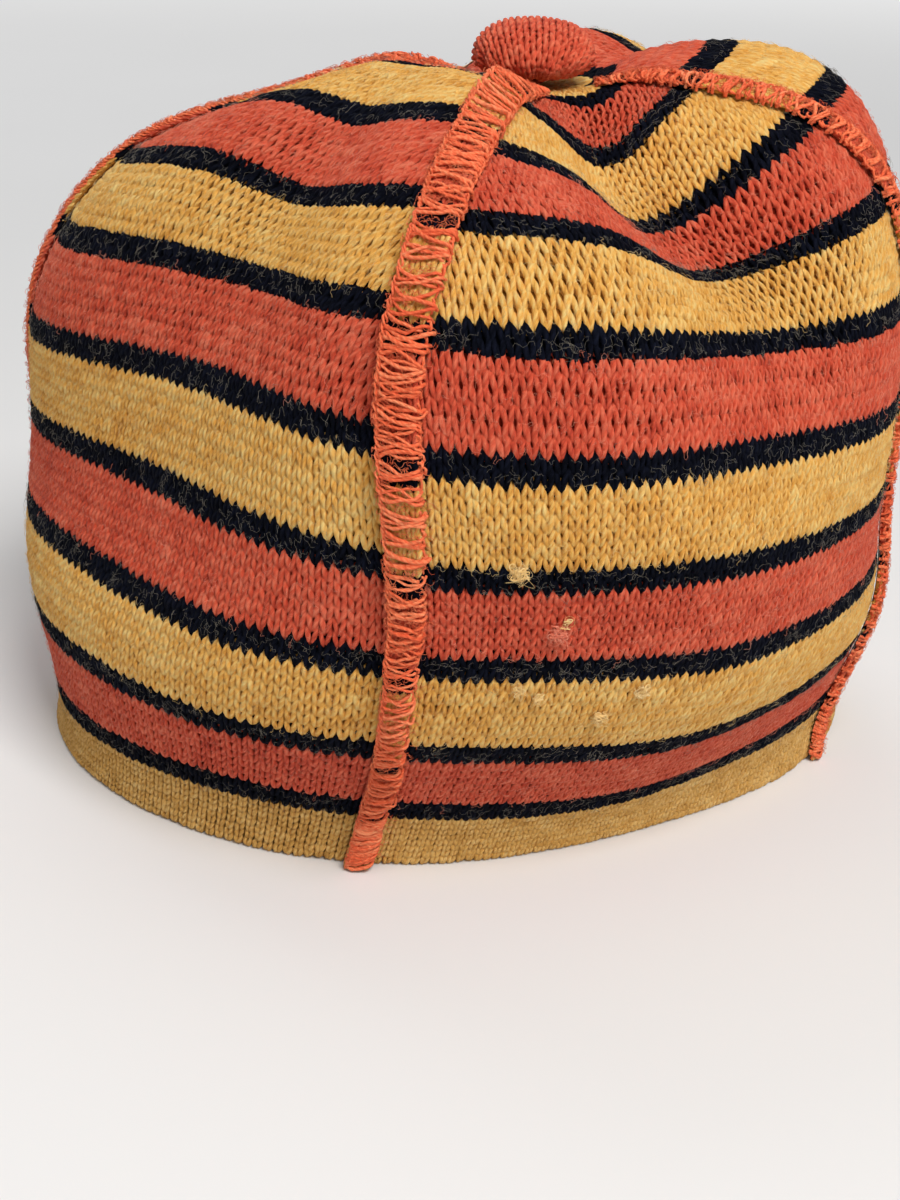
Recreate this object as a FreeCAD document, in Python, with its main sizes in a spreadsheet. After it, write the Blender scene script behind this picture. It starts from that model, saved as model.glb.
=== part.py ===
import FreeCAD, Part
import math
import os
import Sketcher
from FreeCAD import Vector, Placement, Rotation

# Knitted beanie, stuffed to its worn shape, with a soft button on the crown.
# Four knitted gores meet at four seams that are worn on the outside.
# Frame: millimetres, +Z up, origin at the centre of the opening on the plane
# the rim rests on. The seams run up the front (-Y), right (+X), back (+Y)
# and left (-X).

doc = FreeCAD.newDocument("KnitBeanie")

# ---------------------------------------------------------------- sizes
SIZES = [
    ("fabric_thick", 2.4, "thickness of the knitted fabric"),
    ("course_count", 80.0, "courses from the rib to the crown"),
    ("rim_course", -4.4049, "rim, in courses below the first dark stripe"),
    ("stripe_gap", 0.08, "half gap between neighbouring yarns"),
    ("seam_gap", 0.10, "half gap between neighbouring gores"),
    ("tip_radius", 2.15, "radius of the open middle of the crown"),
    ("margin_width", 7.6, "width of the folded seam margin"),
    ("margin_thick", 2.3, "thickness of the folded seam margin"),
    ("margin_lift", 0.18, "gap under the folded seam margin"),
    ("margin_end", 12.3, "distance from the crown's centre where a margin ends"),
    ("stitch_pitch", 2.7, "distance between overlock stitches"),
    ("looper_rad", 0.26, "radius of the looper threads"),
    ("needle_rad", 0.28, "radius of the needle thread"),
    ("button_rad", 11.5, "outer radius of the button"),
    ("button_tall", 10.0, "height of the button"),
    ("button_side", 3.7, "radius of the button's side"),
    ("button_waist", 4.0, "height of the button's widest ring"),
    ("base_round", 105.25, "radius of the button's underside"),
    ("cover_thick", 1.9, "thickness of the button's knitted cover"),
    ("cover_hole", 3.0, "radius of the gathered hole under the button"),
    ("stuff_rad", 8.0, "radius of the button's stuffing"),
    ("stuff_half", 2.8, "half height of the button's stuffing"),
    ("stuff_mid", 5.0, "middle of the stuffing above the button's underside"),
    ("gather_ring", 2.45, "radius of the gathering thread's ring"),
    ("gather_rad", 0.3, "radius of the gathering thread"),
    ("strand_rad", 0.8, "radius of the bundle of shank strands"),
    ("strand_up", 1.5, "length of the strands above the pivot"),
    ("strand_down", 4.6, "length of the strands below the pivot"),
    ("wrap_ring", 1.45, "radius of the wrapping round the shank"),
    ("wrap_rad", 0.42, "radius of the wrapping thread"),
    ("anchor_half", 4.2, "half length of an anchor stitch"),
    ("anchor_rad", 0.35, "radius of an anchor stitch"),
    ("pivot_x", 18.280, "crown centre, X"),
    ("pivot_y", -9.113, "crown centre, Y"),
    ("pivot_z", 139.868, "height of the shank's pivot"),
    ("button_lift", 0.6, "underside of the button above the pivot"),
    ("gather_lift", 1.5, "gathering ring above the pivot"),
    ("anchor_drop", 5.0, "anchor stitches below the pivot"),
]
sheet = doc.addObject("Spreadsheet::Sheet", "Sizes")
sheet.Label = "Sizes"
for index, (alias, value, note) in enumerate(SIZES, start=1):
    sheet.set("A%d" % index, note)
    sheet.set("B%d" % index, "%.4f" % value)
    sheet.setAlias("B%d" % index, alias)
doc.recompute()


def size(alias):
    return float(sheet.get(alias))


RIM = size("rim_course")
TOP = size("course_count")
RIM_ZONE = 3.0       # courses over which the fabric's edge turns level at the rim

# Stripes, in courses: a dark stripe starts each repeat, a coloured one fills it.
REPEAT = 8
DARK = 2
REPEATS = int(TOP / REPEAT)

# ------------------------------------------------- form of the stuffed fabric
# Outer face of each gore as a uniform bicubic B-spline net of x,y,z nodes.
# A block of six lines is one row, from the rim to the crown. The rows run
# across the gore, from its first seam to its second. Every row also passes
# through CROWN_NODE, just before its last node.
GORES = ["front_right", "back_right", "back_left", "front_left"]
SPANS_ACROSS = 12
SPANS_ALONG = 28
ROW_NODES = 30
CROWN_NODE = (18.28, -9.11, 138.97)
NODES = {
    "front_right": """
-14.00,-68.77,-8.53 -12.01,-69.04,0.00 -10.01,-69.32,8.53 -8.17,-72.02,16.44 -6.35,-74.73,22.42
-4.74,-78.15,28.86 -3.34,-81.36,36.08 -2.09,-83.32,43.94 -1.07,-83.86,51.64 -0.40,-83.95,58.58
-0.12,-83.98,65.63 -0.24,-83.88,72.75 -0.83,-83.49,80.40 -1.62,-82.51,88.56 -2.22,-81.00,96.75
-2.15,-79.08,104.50 -1.22,-76.65,111.65 0.21,-73.44,118.24 1.79,-69.21,124.10 3.29,-64.37,129.32
4.97,-58.30,134.11 6.87,-51.30,138.71 8.95,-43.42,142.69 10.70,-35.51,147.32 12.59,-28.51,144.05
13.32,-25.50,141.69 14.22,-22.24,139.88 15.59,-17.10,138.99 17.21,-12.54,139.00 19.35,-5.68,138.93
-4.53,-67.58,-8.16 -2.56,-67.70,0.00 -0.59,-67.81,8.16 1.52,-70.42,16.05 3.64,-73.14,22.15
5.66,-76.68,28.73 7.47,-80.07,36.17 8.95,-82.23,44.18 10.02,-83.04,51.88 10.69,-83.50,58.70
10.96,-83.94,65.58 10.82,-84.26,72.54 10.21,-84.32,79.98 9.31,-83.72,87.96 8.55,-82.59,96.06
8.34,-80.94,103.86 8.85,-78.57,111.11 9.66,-75.09,117.85 10.42,-70.44,123.73 10.91,-65.12,128.64
11.44,-58.91,132.88 12.15,-51.89,136.79 13.12,-44.27,140.28 13.88,-36.52,144.19 15.01,-29.51,143.17
15.43,-26.48,141.46 15.96,-23.29,140.11 16.80,-17.96,139.07 17.75,-12.87,139.02 18.81,-5.36,138.91
4.94,-66.40,-7.79 6.88,-66.35,0.00 8.82,-66.30,7.79 11.21,-68.81,15.66 13.62,-71.54,21.88
16.06,-75.20,28.60 18.27,-78.78,36.27 19.99,-81.14,44.42 21.11,-82.22,52.11 21.77,-83.06,58.81
22.04,-83.89,65.54 21.89,-84.63,72.32 21.25,-85.15,79.56 20.25,-84.94,87.36 19.31,-84.19,95.38
18.82,-82.79,103.21 18.92,-80.49,110.57 19.10,-76.73,117.46 19.04,-71.67,123.36 18.52,-65.87,127.96
17.91,-59.52,131.65 17.43,-52.49,134.88 17.30,-45.12,137.86 17.06,-37.52,141.06 17.44,-30.51,142.28
17.54,-27.46,141.23 17.71,-24.33,140.34 18.02,-18.81,139.15 18.28,-13.19,139.05 18.28,-5.04,138.89
14.04,-63.75,-7.29 15.86,-63.59,0.00 17.68,-63.44,7.29 20.21,-65.72,14.99 22.84,-68.41,21.31
25.64,-72.04,28.09 28.27,-75.73,35.92 30.27,-78.21,44.24 31.51,-79.45,52.03 32.31,-80.48,58.72
32.77,-81.55,65.41 32.88,-82.55,72.15 32.59,-83.35,79.32 31.91,-83.41,87.04 31.21,-82.94,95.02
30.74,-81.77,102.91 30.56,-79.59,110.37 30.08,-75.77,117.39 29.05,-70.55,123.32 27.32,-64.63,127.70
25.40,-58.37,130.93 23.55,-51.55,133.55 22.13,-44.55,136.01 20.73,-37.40,138.37 20.18,-30.63,140.60
19.95,-27.71,140.47 19.75,-24.69,140.26 19.41,-19.37,139.23 18.88,-13.31,139.05 17.68,-4.92,138.88
22.60,-60.20,-6.80 24.29,-60.04,0.00 25.98,-59.87,6.80 28.58,-61.89,14.17 31.40,-64.48,20.51
34.51,-67.97,27.22 37.55,-71.67,35.12 39.85,-74.28,43.60 41.25,-75.61,51.58 42.20,-76.68,58.35
42.88,-77.78,65.10 43.29,-78.81,71.89 43.39,-79.62,79.05 43.07,-79.65,86.73 42.63,-79.13,94.66
42.20,-77.91,102.48 41.75,-75.72,109.87 40.62,-71.94,116.77 38.66,-66.95,122.54 35.85,-61.38,126.69
32.75,-55.60,129.59 29.65,-49.36,131.82 27.02,-42.96,133.93 24.54,-36.48,135.78 23.01,-30.12,138.70
22.45,-27.41,139.44 21.87,-24.58,139.91 20.93,-19.55,139.35 19.53,-13.30,139.04 17.03,-4.93,138.90
30.50,-55.93,-6.36 32.10,-55.82,0.00 33.70,-55.70,6.36 36.32,-57.47,13.25 39.29,-59.90,19.48
42.63,-63.11,25.98 46.04,-66.72,33.75 48.70,-69.40,42.33 50.28,-70.79,50.61 51.34,-71.73,57.59
52.19,-72.68,64.49 52.80,-73.49,71.43 53.16,-74.02,78.68 52.99,-73.70,86.32 52.54,-72.76,94.09
51.88,-71.13,101.60 50.96,-68.69,108.59 49.16,-65.04,114.88 46.48,-60.59,120.01 42.96,-55.84,123.72
39.11,-51.00,126.42 35.13,-45.73,128.56 31.60,-40.27,130.74 28.25,-34.71,132.47 25.84,-28.97,136.39
24.95,-26.53,138.03 24.02,-23.96,139.27 22.52,-19.40,139.47 20.21,-13.21,139.01 16.35,-5.02,138.92
37.88,-51.22,-6.09 39.44,-51.17,0.00 41.00,-51.12,6.09 43.64,-52.66,12.53 46.74,-54.88,18.61
50.23,-57.76,24.88 53.93,-61.09,32.40 56.92,-63.74,40.97 58.69,-65.12,49.49 59.76,-65.87,56.73
60.67,-66.56,63.77 61.33,-67.02,70.88 61.69,-67.11,78.21 61.36,-66.30,85.80 60.52,-64.79,93.33
59.22,-62.59,100.35 57.48,-59.78,106.70 54.89,-56.22,112.07 51.66,-52.37,116.12 47.84,-48.63,119.03
43.78,-45.02,121.44 39.45,-40.99,123.64 35.48,-36.74,126.20 31.65,-32.28,128.13 28.53,-27.38,133.65
27.37,-25.24,136.23 26.12,-22.99,138.34 24.14,-18.96,139.59 20.93,-13.04,138.99 15.63,-5.18,138.95
44.90,-46.17,-6.12 46.43,-46.12,0.00 47.96,-46.08,6.12 50.69,-47.46,12.34 53.92,-49.43,18.26
57.55,-51.97,24.39 61.42,-54.92,31.66 64.63,-57.35,40.10 66.49,-58.62,48.64 67.51,-59.17,56.03
68.36,-59.61,63.14 68.92,-59.76,70.34 69.13,-59.50,77.70 68.49,-58.38,85.21 67.09,-56.52,92.50
65.02,-54.07,99.10 62.39,-51.14,104.87 58.98,-47.80,109.55 55.26,-44.54,112.66 51.32,-41.70,114.77
47.41,-39.22,116.80 43.09,-36.37,119.14 39.02,-33.25,122.13 34.90,-29.79,124.53 31.19,-25.71,130.98
29.75,-23.83,134.42 28.21,-21.89,137.27 25.81,-18.31,139.64 21.68,-12.79,138.97 14.88,-5.44,138.97
51.70,-40.79,-6.51 53.17,-40.65,0.00 54.63,-40.51,6.51 57.57,-41.77,12.85 60.94,-43.47,18.69
64.71,-45.66,24.80 68.68,-48.16,31.98 71.87,-50.17,40.20 73.63,-51.21,48.49 74.51,-51.62,55.77
75.23,-51.91,62.81 75.69,-51.95,69.95 75.80,-51.62,77.21 75.06,-50.62,84.57 73.43,-48.98,91.70
71.01,-46.87,98.18 67.91,-44.39,103.80 64.07,-41.65,108.49 60.02,-39.05,111.51 55.95,-36.92,113.55
52.08,-35.21,115.60 47.65,-33.11,118.22 43.29,-30.63,121.36 38.65,-27.74,124.42 34.09,-24.22,129.22
32.35,-22.51,133.28 30.48,-20.79,136.38 27.50,-17.45,139.65 22.42,-12.42,138.97 14.14,-5.81,138.97
58.55,-35.02,-7.08 59.89,-34.73,0.00 61.24,-34.44,7.08 64.39,-35.51,13.73 67.82,-36.85,19.55
71.67,-38.63,25.70 75.59,-40.62,32.87 78.52,-42.15,40.85 80.01,-42.94,48.76 80.68,-43.25,55.80
81.26,-43.50,62.71 81.68,-43.59,69.68 81.86,-43.44,76.76 81.40,-42.86,83.93 80.10,-41.85,90.99
78.08,-40.53,97.64 75.27,-38.95,103.65 71.72,-37.18,109.01 67.77,-35.43,113.02 63.58,-33.94,116.09
59.37,-32.68,118.94 54.32,-30.94,122.07 49.01,-28.65,125.19 43.41,-25.88,128.34 37.44,-22.71,130.78
35.27,-21.10,133.90 32.94,-19.52,136.54 29.12,-16.30,139.68 23.10,-11.91,138.99 13.46,-6.32,138.94
65.68,-28.67,-7.63 66.78,-28.19,0.00 67.88,-27.71,7.63 71.15,-28.47,14.71 74.47,-29.36,20.54
78.24,-30.67,26.80 81.88,-32.11,33.95 84.36,-33.20,41.65 85.43,-33.77,49.15 85.83,-34.06,55.95
86.24,-34.34,62.69 86.63,-34.55,69.47 86.96,-34.63,76.35 86.91,-34.48,83.35 86.21,-34.09,90.38
84.95,-33.58,97.28 82.92,-32.91,103.88 80.17,-32.14,110.13 76.75,-31.28,115.60 72.55,-30.45,120.28
67.85,-29.60,124.39 61.88,-28.17,128.11 55.27,-26.03,131.24 48.31,-23.41,133.61 41.03,-20.62,135.59
38.20,-19.17,136.56 35.35,-17.75,138.25 30.48,-14.77,139.73 23.65,-11.25,139.03 12.91,-6.98,138.90
72.92,-21.31,-8.01 73.67,-20.65,0.00 74.41,-19.98,8.01 77.56,-20.35,15.51 80.53,-20.78,21.36
83.99,-21.60,27.75 87.10,-22.53,34.85 88.99,-23.27,42.27 89.55,-23.74,49.43 89.60,-24.08,56.03
89.78,-24.44,62.63 90.05,-24.78,69.25 90.40,-25.04,75.99 90.57,-25.19,82.88 90.27,-25.22,89.89
89.58,-25.24,96.97 88.15,-25.22,104.00 86.12,-25.17,110.90 83.30,-25.02,117.44 79.30,-24.84,123.38
74.33,-24.53,128.48 67.74,-23.61,132.67 60.18,-21.93,135.78 52.12,-19.85,137.69 44.05,-17.62,138.84
40.48,-16.46,139.38 37.17,-15.30,140.07 31.30,-12.87,139.84 24.00,-10.48,139.06 12.56,-7.75,138.87
79.91,-12.64,-8.18 80.18,-11.85,0.00 80.44,-11.06,8.18 83.24,-11.01,16.08 85.66,-11.05,21.98
88.59,-11.43,28.50 91.02,-11.97,35.55 92.20,-12.52,42.74 92.20,-13.00,49.61 91.83,-13.47,56.05
91.71,-13.97,62.52 91.78,-14.47,69.02 92.00,-14.91,75.68 92.17,-15.30,82.53 92.02,-15.65,89.56
91.53,-16.03,96.74 90.36,-16.43,104.00 88.73,-16.87,111.24 86.37,-17.24,118.29 82.73,-17.64,124.85
77.88,-17.98,130.46 71.13,-17.69,134.96 63.12,-16.69,138.08 54.51,-15.42,139.82 45.90,-13.89,140.47
41.81,-13.11,140.80 38.14,-12.27,141.06 31.32,-10.75,139.88 24.07,-9.62,139.06 12.48,-8.60,138.88
85.31,-1.92,-8.02 85.05,-1.17,0.00 84.79,-0.42,8.02 86.91,-0.13,16.15 88.66,0.02,22.11
90.88,-0.14,28.75 92.57,-0.55,35.84 93.05,-1.13,42.95 92.46,-1.82,49.67 91.67,-2.55,56.01
91.23,-3.30,62.41 91.10,-4.03,68.83 91.22,-4.72,75.47 91.44,-5.36,82.35 91.49,-5.99,89.46
91.25,-6.68,96.81 90.35,-7.44,104.32 89.16,-8.20,111.89 87.26,-8.95,119.41 83.98,-9.82,126.46
79.30,-10.73,132.41 72.42,-11.03,137.08 64.02,-10.80,140.11 55.08,-10.39,141.57 45.91,-9.71,141.68
41.52,-9.46,141.86 37.45,-9.11,141.50 30.62,-8.63,139.70 23.82,-8.70,138.98 12.74,-9.53,138.95
90.71,8.79,-7.86 89.92,9.50,0.00 89.13,10.22,7.86 90.59,10.76,16.22 91.65,11.08,22.25
93.18,11.15,29.00 94.12,10.88,36.13 93.89,10.26,43.15 92.73,9.37,49.73 91.50,8.37,55.98
90.75,7.37,62.30 90.43,6.41,68.64 90.45,5.48,75.26 90.71,4.58,82.17 90.97,3.66,89.37
90.97,2.66,96.88 90.35,1.56,104.64 89.59,0.46,112.54 88.16,-0.66,120.52 85.24,-2.00,128.07
80.72,-3.48,134.37 73.71,-4.37,139.20 64.92,-4.92,142.14 55.64,-5.37,143.32 45.92,-5.53,142.88
41.23,-5.80,142.91 36.77,-5.96,141.94 29.93,-6.51,139.52 23.57,-7.78,138.91 12.99,-10.45,139.03
""",
    "back_right": """
81.31,-12.56,-8.78 81.53,-11.71,-0.54 81.74,-10.86,7.70 84.55,-10.76,15.88 86.93,-10.77,21.90
89.82,-11.16,28.57 92.18,-11.73,35.64 93.31,-12.34,42.74 93.29,-12.92,49.46 92.95,-13.50,55.77
92.86,-14.14,62.16 92.96,-14.78,68.59 93.18,-15.38,75.31 93.33,-15.93,82.32 93.10,-16.44,89.60
92.49,-16.99,97.07 91.10,-17.55,104.60 89.31,-18.09,112.12 86.54,-18.60,119.34 82.28,-19.11,125.74
76.55,-19.50,130.77 68.63,-18.85,134.41 59.72,-17.55,137.11 50.62,-15.90,138.02 42.35,-14.21,138.69
35.90,-12.53,138.31 29.22,-10.84,139.05 25.33,-10.25,138.92 22.66,-9.50,139.00 13.90,-8.73,138.93
85.31,-1.92,-8.02 85.05,-1.17,0.00 84.79,-0.42,8.02 86.91,-0.13,16.15 88.66,0.02,22.11
90.88,-0.14,28.75 92.57,-0.55,35.84 93.05,-1.13,42.95 92.46,-1.82,49.67 91.67,-2.55,56.01
91.23,-3.30,62.41 91.10,-4.03,68.83 91.22,-4.72,75.47 91.44,-5.36,82.35 91.49,-5.99,89.46
91.25,-6.68,96.81 90.35,-7.44,104.32 89.16,-8.20,111.89 87.27,-8.95,119.41 83.98,-9.82,126.46
79.30,-10.73,132.41 72.41,-11.03,137.08 64.05,-10.81,140.11 54.98,-10.38,141.57 46.28,-9.76,141.69
38.60,-9.18,141.85 31.46,-8.66,139.95 26.67,-8.64,139.16 22.81,-8.77,139.03 13.75,-9.45,138.90
89.30,8.72,-7.25 88.57,9.37,0.54 87.84,10.02,8.34 89.28,10.50,16.43 90.38,10.81,22.33
91.94,10.87,28.93 92.96,10.64,36.04 92.78,10.08,43.15 91.63,9.29,49.88 90.38,8.41,56.25
89.59,7.54,62.65 89.24,6.72,69.07 89.26,5.95,75.63 89.55,5.21,82.37 89.88,4.46,89.33
90.01,3.63,96.55 89.60,2.67,104.04 89.01,1.69,111.65 87.99,0.70,119.48 85.69,-0.54,127.19
82.05,-1.96,134.06 76.20,-3.21,139.74 68.38,-4.07,143.11 59.33,-4.86,145.11 50.21,-5.31,144.70
41.30,-5.83,145.40 33.69,-6.47,140.85 28.02,-7.04,139.41 22.95,-8.05,139.06 13.61,-10.18,138.88
90.60,20.62,-7.38 89.46,21.03,0.05 88.33,21.43,7.48 89.02,21.87,15.65 89.51,22.12,21.68
90.40,22.19,28.42 90.80,21.91,35.70 90.04,21.17,42.95 88.36,20.07,49.81 86.63,18.89,56.28
85.47,17.79,62.77 84.86,16.79,69.25 84.78,15.91,75.82 85.16,15.12,82.50 85.82,14.36,89.35
86.29,13.53,96.47 86.33,12.55,103.89 86.16,11.54,111.44 85.77,10.54,119.29 84.26,9.20,127.18
81.40,7.55,134.40 76.71,5.70,140.60 69.69,3.92,144.68 61.28,1.98,147.02 52.15,0.24,146.91
42.93,-1.51,146.65 34.83,-3.44,143.43 28.72,-5.21,139.22 23.01,-7.29,139.17 13.55,-10.94,138.77
89.26,32.75,-6.97 87.86,32.83,-0.01 86.45,32.92,6.94 86.52,33.15,15.05 86.53,33.23,21.13
86.85,33.16,27.90 86.79,32.73,35.28 85.58,31.68,42.66 83.48,30.16,49.71 81.36,28.55,56.35
79.85,27.11,62.98 78.99,25.87,69.59 78.78,24.85,76.21 79.18,24.02,82.86 80.01,23.33,89.65
80.64,22.53,96.68 80.85,21.57,104.02 80.79,20.55,111.45 80.64,19.57,119.14 79.61,18.21,126.88
77.39,16.42,134.07 73.77,14.23,140.24 67.86,11.74,144.64 60.48,8.89,147.26 51.96,5.93,147.72
43.08,2.96,147.02 34.96,-0.23,144.98 28.76,-3.26,139.14 22.89,-6.54,139.23 13.67,-11.69,138.71
85.07,44.49,-6.64 83.56,44.23,0.00 82.05,43.96,6.65 81.69,43.89,14.54 81.40,43.73,20.63
81.34,43.43,27.34 80.98,42.77,34.77 79.52,41.34,42.27 77.20,39.32,49.54 74.84,37.20,56.37
73.08,35.33,63.18 72.00,33.77,69.93 71.62,32.56,76.63 71.90,31.66,83.33 72.70,30.99,90.10
73.20,30.17,97.11 73.23,29.12,104.34 72.88,27.93,111.61 72.54,26.84,118.89 71.59,25.39,126.02
69.84,23.51,132.48 67.17,21.19,138.03 62.57,18.33,141.87 56.60,14.91,144.76 49.39,11.08,145.93
41.38,7.04,145.49 33.96,2.82,144.49 28.15,-1.44,139.24 22.58,-5.84,139.21 13.98,-12.39,138.72
78.48,55.22,-6.37 77.01,54.63,-0.00 75.54,54.03,6.37 75.00,53.68,14.03 74.57,53.27,20.12
74.32,52.74,26.76 73.85,51.86,34.22 72.37,50.07,41.81 70.04,47.54,49.28 67.62,44.87,56.31
65.77,42.55,63.26 64.56,40.63,70.15 64.03,39.17,76.95 64.15,38.12,83.71 64.78,37.41,90.52
65.03,36.43,97.55 64.74,35.13,104.71 63.98,33.57,111.77 63.27,32.14,118.59 62.20,30.42,124.86
60.72,28.41,130.28 58.76,26.06,134.49 55.34,23.06,138.10 50.82,19.42,141.03 45.12,15.13,142.82
38.34,10.34,143.04 32.03,5.35,142.85 27.03,0.11,139.35 22.10,-5.25,139.17 14.46,-12.98,138.77
70.01,64.51,-6.14 68.68,63.66,0.00 67.36,62.81,6.14 66.81,62.24,13.56 66.42,61.67,19.65
66.16,60.98,26.19 65.76,59.96,33.66 64.45,57.91,41.34 62.32,54.96,48.91 60.07,51.81,56.07
58.31,49.06,63.12 57.11,46.80,70.10 56.55,45.08,76.97 56.58,43.88,83.80 57.10,43.10,90.68
57.21,41.96,97.75 56.80,40.39,104.88 55.90,38.46,111.80 55.03,36.65,118.30 53.91,34.59,124.02
52.58,32.34,128.59 51.02,29.87,132.51 48.38,26.72,135.86 44.87,22.89,138.81 40.35,18.26,140.95
34.68,12.86,141.67 29.56,7.24,141.95 25.55,1.26,139.38 21.50,-4.81,139.14 15.06,-13.42,138.80
60.17,72.15,-5.95 59.08,71.13,-0.00 57.98,70.12,5.95 57.55,69.44,13.15 57.29,68.82,19.23
57.14,68.10,25.71 56.92,67.08,33.11 55.94,64.94,40.95 54.20,61.74,48.46 52.30,58.25,55.64
50.81,55.20,62.69 49.80,52.68,69.71 49.33,50.79,76.64 49.39,49.49,83.52 49.91,48.72,90.46
50.10,47.56,97.60 49.85,45.92,104.81 49.18,43.85,111.82 48.49,41.87,118.46 47.53,39.56,124.37
46.34,36.99,129.13 44.94,34.18,133.16 42.63,30.57,136.59 39.62,26.22,139.61 35.78,20.97,141.74
30.93,14.84,142.63 26.85,8.52,142.48 23.87,1.96,139.28 20.81,-4.53,139.15 15.75,-13.69,138.78
49.41,78.02,-5.79 48.57,76.93,0.00 47.74,75.84,5.79 47.47,75.18,12.78 47.39,74.66,18.86
47.43,74.06,25.27 47.45,73.23,32.62 46.88,71.21,40.53 45.65,67.98,48.10 44.24,64.35,55.10
43.14,61.15,62.05 42.42,58.52,69.02 42.15,56.57,75.95 42.32,55.27,82.87 42.89,54.58,89.87
43.23,53.54,97.10 43.25,52.02,104.46 42.97,50.08,111.70 42.59,48.11,118.79 41.88,45.63,125.40
40.83,42.63,130.99 39.49,39.22,135.42 37.34,34.80,139.16 34.60,29.51,142.27 31.22,23.28,144.10
27.11,16.26,145.07 24.05,9.15,143.35 22.15,2.18,139.14 20.11,-4.43,139.17 16.45,-13.80,138.76
38.12,82.11,-5.65 37.53,81.02,-0.00 36.93,79.92,5.65 36.85,79.41,12.47 36.93,79.09,18.54
37.14,78.77,24.90 37.39,78.29,32.19 37.22,76.62,40.09 36.53,73.60,47.88 35.65,70.04,54.63
35.00,66.89,61.38 34.62,64.30,68.21 34.57,62.38,75.08 34.84,61.12,82.01 35.42,60.50,89.08
35.85,59.57,96.40 36.07,58.18,103.88 36.06,56.36,111.31 35.89,54.33,118.79 35.38,51.53,126.00
34.49,47.96,132.40 33.29,43.74,137.31 31.40,38.29,141.22 29.10,31.92,144.40 26.35,24.62,145.75
23.15,16.78,147.08 21.31,8.97,143.02 20.51,1.94,139.14 19.42,-4.47,139.14 17.14,-13.76,138.79
26.63,84.38,-5.54 26.26,83.34,0.00 25.89,82.31,5.54 25.92,81.99,12.19 26.11,81.97,18.27
26.42,82.04,24.59 26.80,82.04,31.80 26.92,80.87,39.73 26.69,78.26,47.54 26.31,74.97,54.50
26.08,72.04,60.89 26.02,69.61,67.54 26.16,67.79,74.31 26.51,66.58,81.23 27.04,65.93,88.38
27.49,64.97,95.77 27.79,63.54,103.32 27.93,61.63,110.82 27.90,59.25,118.47 27.56,55.88,125.87
26.95,51.55,132.45 26.07,46.43,137.57 24.72,39.95,141.42 23.15,32.65,144.51 21.30,24.50,145.56
19.28,16.17,147.17 18.85,7.93,141.46 19.04,1.24,139.23 18.80,-4.63,139.08 17.76,-13.60,138.85
15.21,85.02,-5.44 15.02,84.08,-0.00 14.83,83.14,5.44 14.92,83.06,11.96 15.12,83.38,18.04
15.42,83.88,24.32 15.79,84.43,31.47 16.06,83.86,39.40 16.17,81.78,47.25 16.20,78.90,54.23
16.31,76.30,60.73 16.50,74.12,67.21 16.80,72.45,73.86 17.21,71.28,80.77 17.68,70.53,87.97
18.13,69.43,95.40 18.50,67.80,102.96 18.78,65.61,110.46 18.91,62.63,118.10 18.87,58.48,125.42
18.70,53.31,131.87 18.35,47.23,136.79 17.80,39.82,140.51 17.19,31.77,143.33 16.41,23.04,144.50
15.84,14.57,145.48 16.84,6.16,139.88 17.85,0.16,139.35 18.25,-4.89,139.01 18.31,-13.34,138.93
4.29,83.69,-5.36 4.23,82.86,0.00 4.17,82.03,5.36 4.23,82.17,11.77 4.32,82.80,17.85
4.46,83.71,24.11 4.63,84.74,31.19 4.83,84.76,39.10 5.06,83.24,46.98 5.32,80.82,54.00
5.61,78.59,60.48 5.95,76.70,66.99 6.32,75.20,73.68 6.74,74.08,80.65 7.19,73.19,87.94
7.67,71.91,95.42 8.17,70.07,102.96 8.70,67.52,110.36 9.23,63.89,117.67 9.77,58.92,124.38
10.31,52.98,130.06 10.86,45.94,134.64 11.39,37.82,138.24 11.97,29.24,140.71 12.33,20.28,142.21
13.44,12.05,142.37 15.71,3.72,139.53 16.98,-1.36,139.16 17.79,-5.20,139.00 18.77,-13.03,138.93
-6.62,82.37,-5.28 -6.55,81.65,0.00 -6.48,80.93,5.28 -6.46,81.28,11.58 -6.48,82.23,17.67
-6.51,83.54,23.91 -6.53,85.06,30.92 -6.40,85.66,38.81 -6.05,84.70,46.70 -5.57,82.74,53.77
-5.08,80.89,60.22 -4.61,79.29,66.77 -4.16,77.96,73.51 -3.73,76.88,80.54 -3.31,75.85,87.91
-2.79,74.40,95.45 -2.15,72.34,102.97 -1.38,69.42,110.25 -0.45,65.14,117.24 0.66,59.35,123.34
1.92,52.65,128.25 3.36,44.65,132.50 4.98,35.81,135.96 6.75,26.71,138.09 8.26,17.51,139.91
11.03,9.54,139.27 14.58,1.29,139.18 16.10,-2.89,138.98 17.32,-5.51,138.99 19.24,-12.72,138.94
""",
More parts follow.
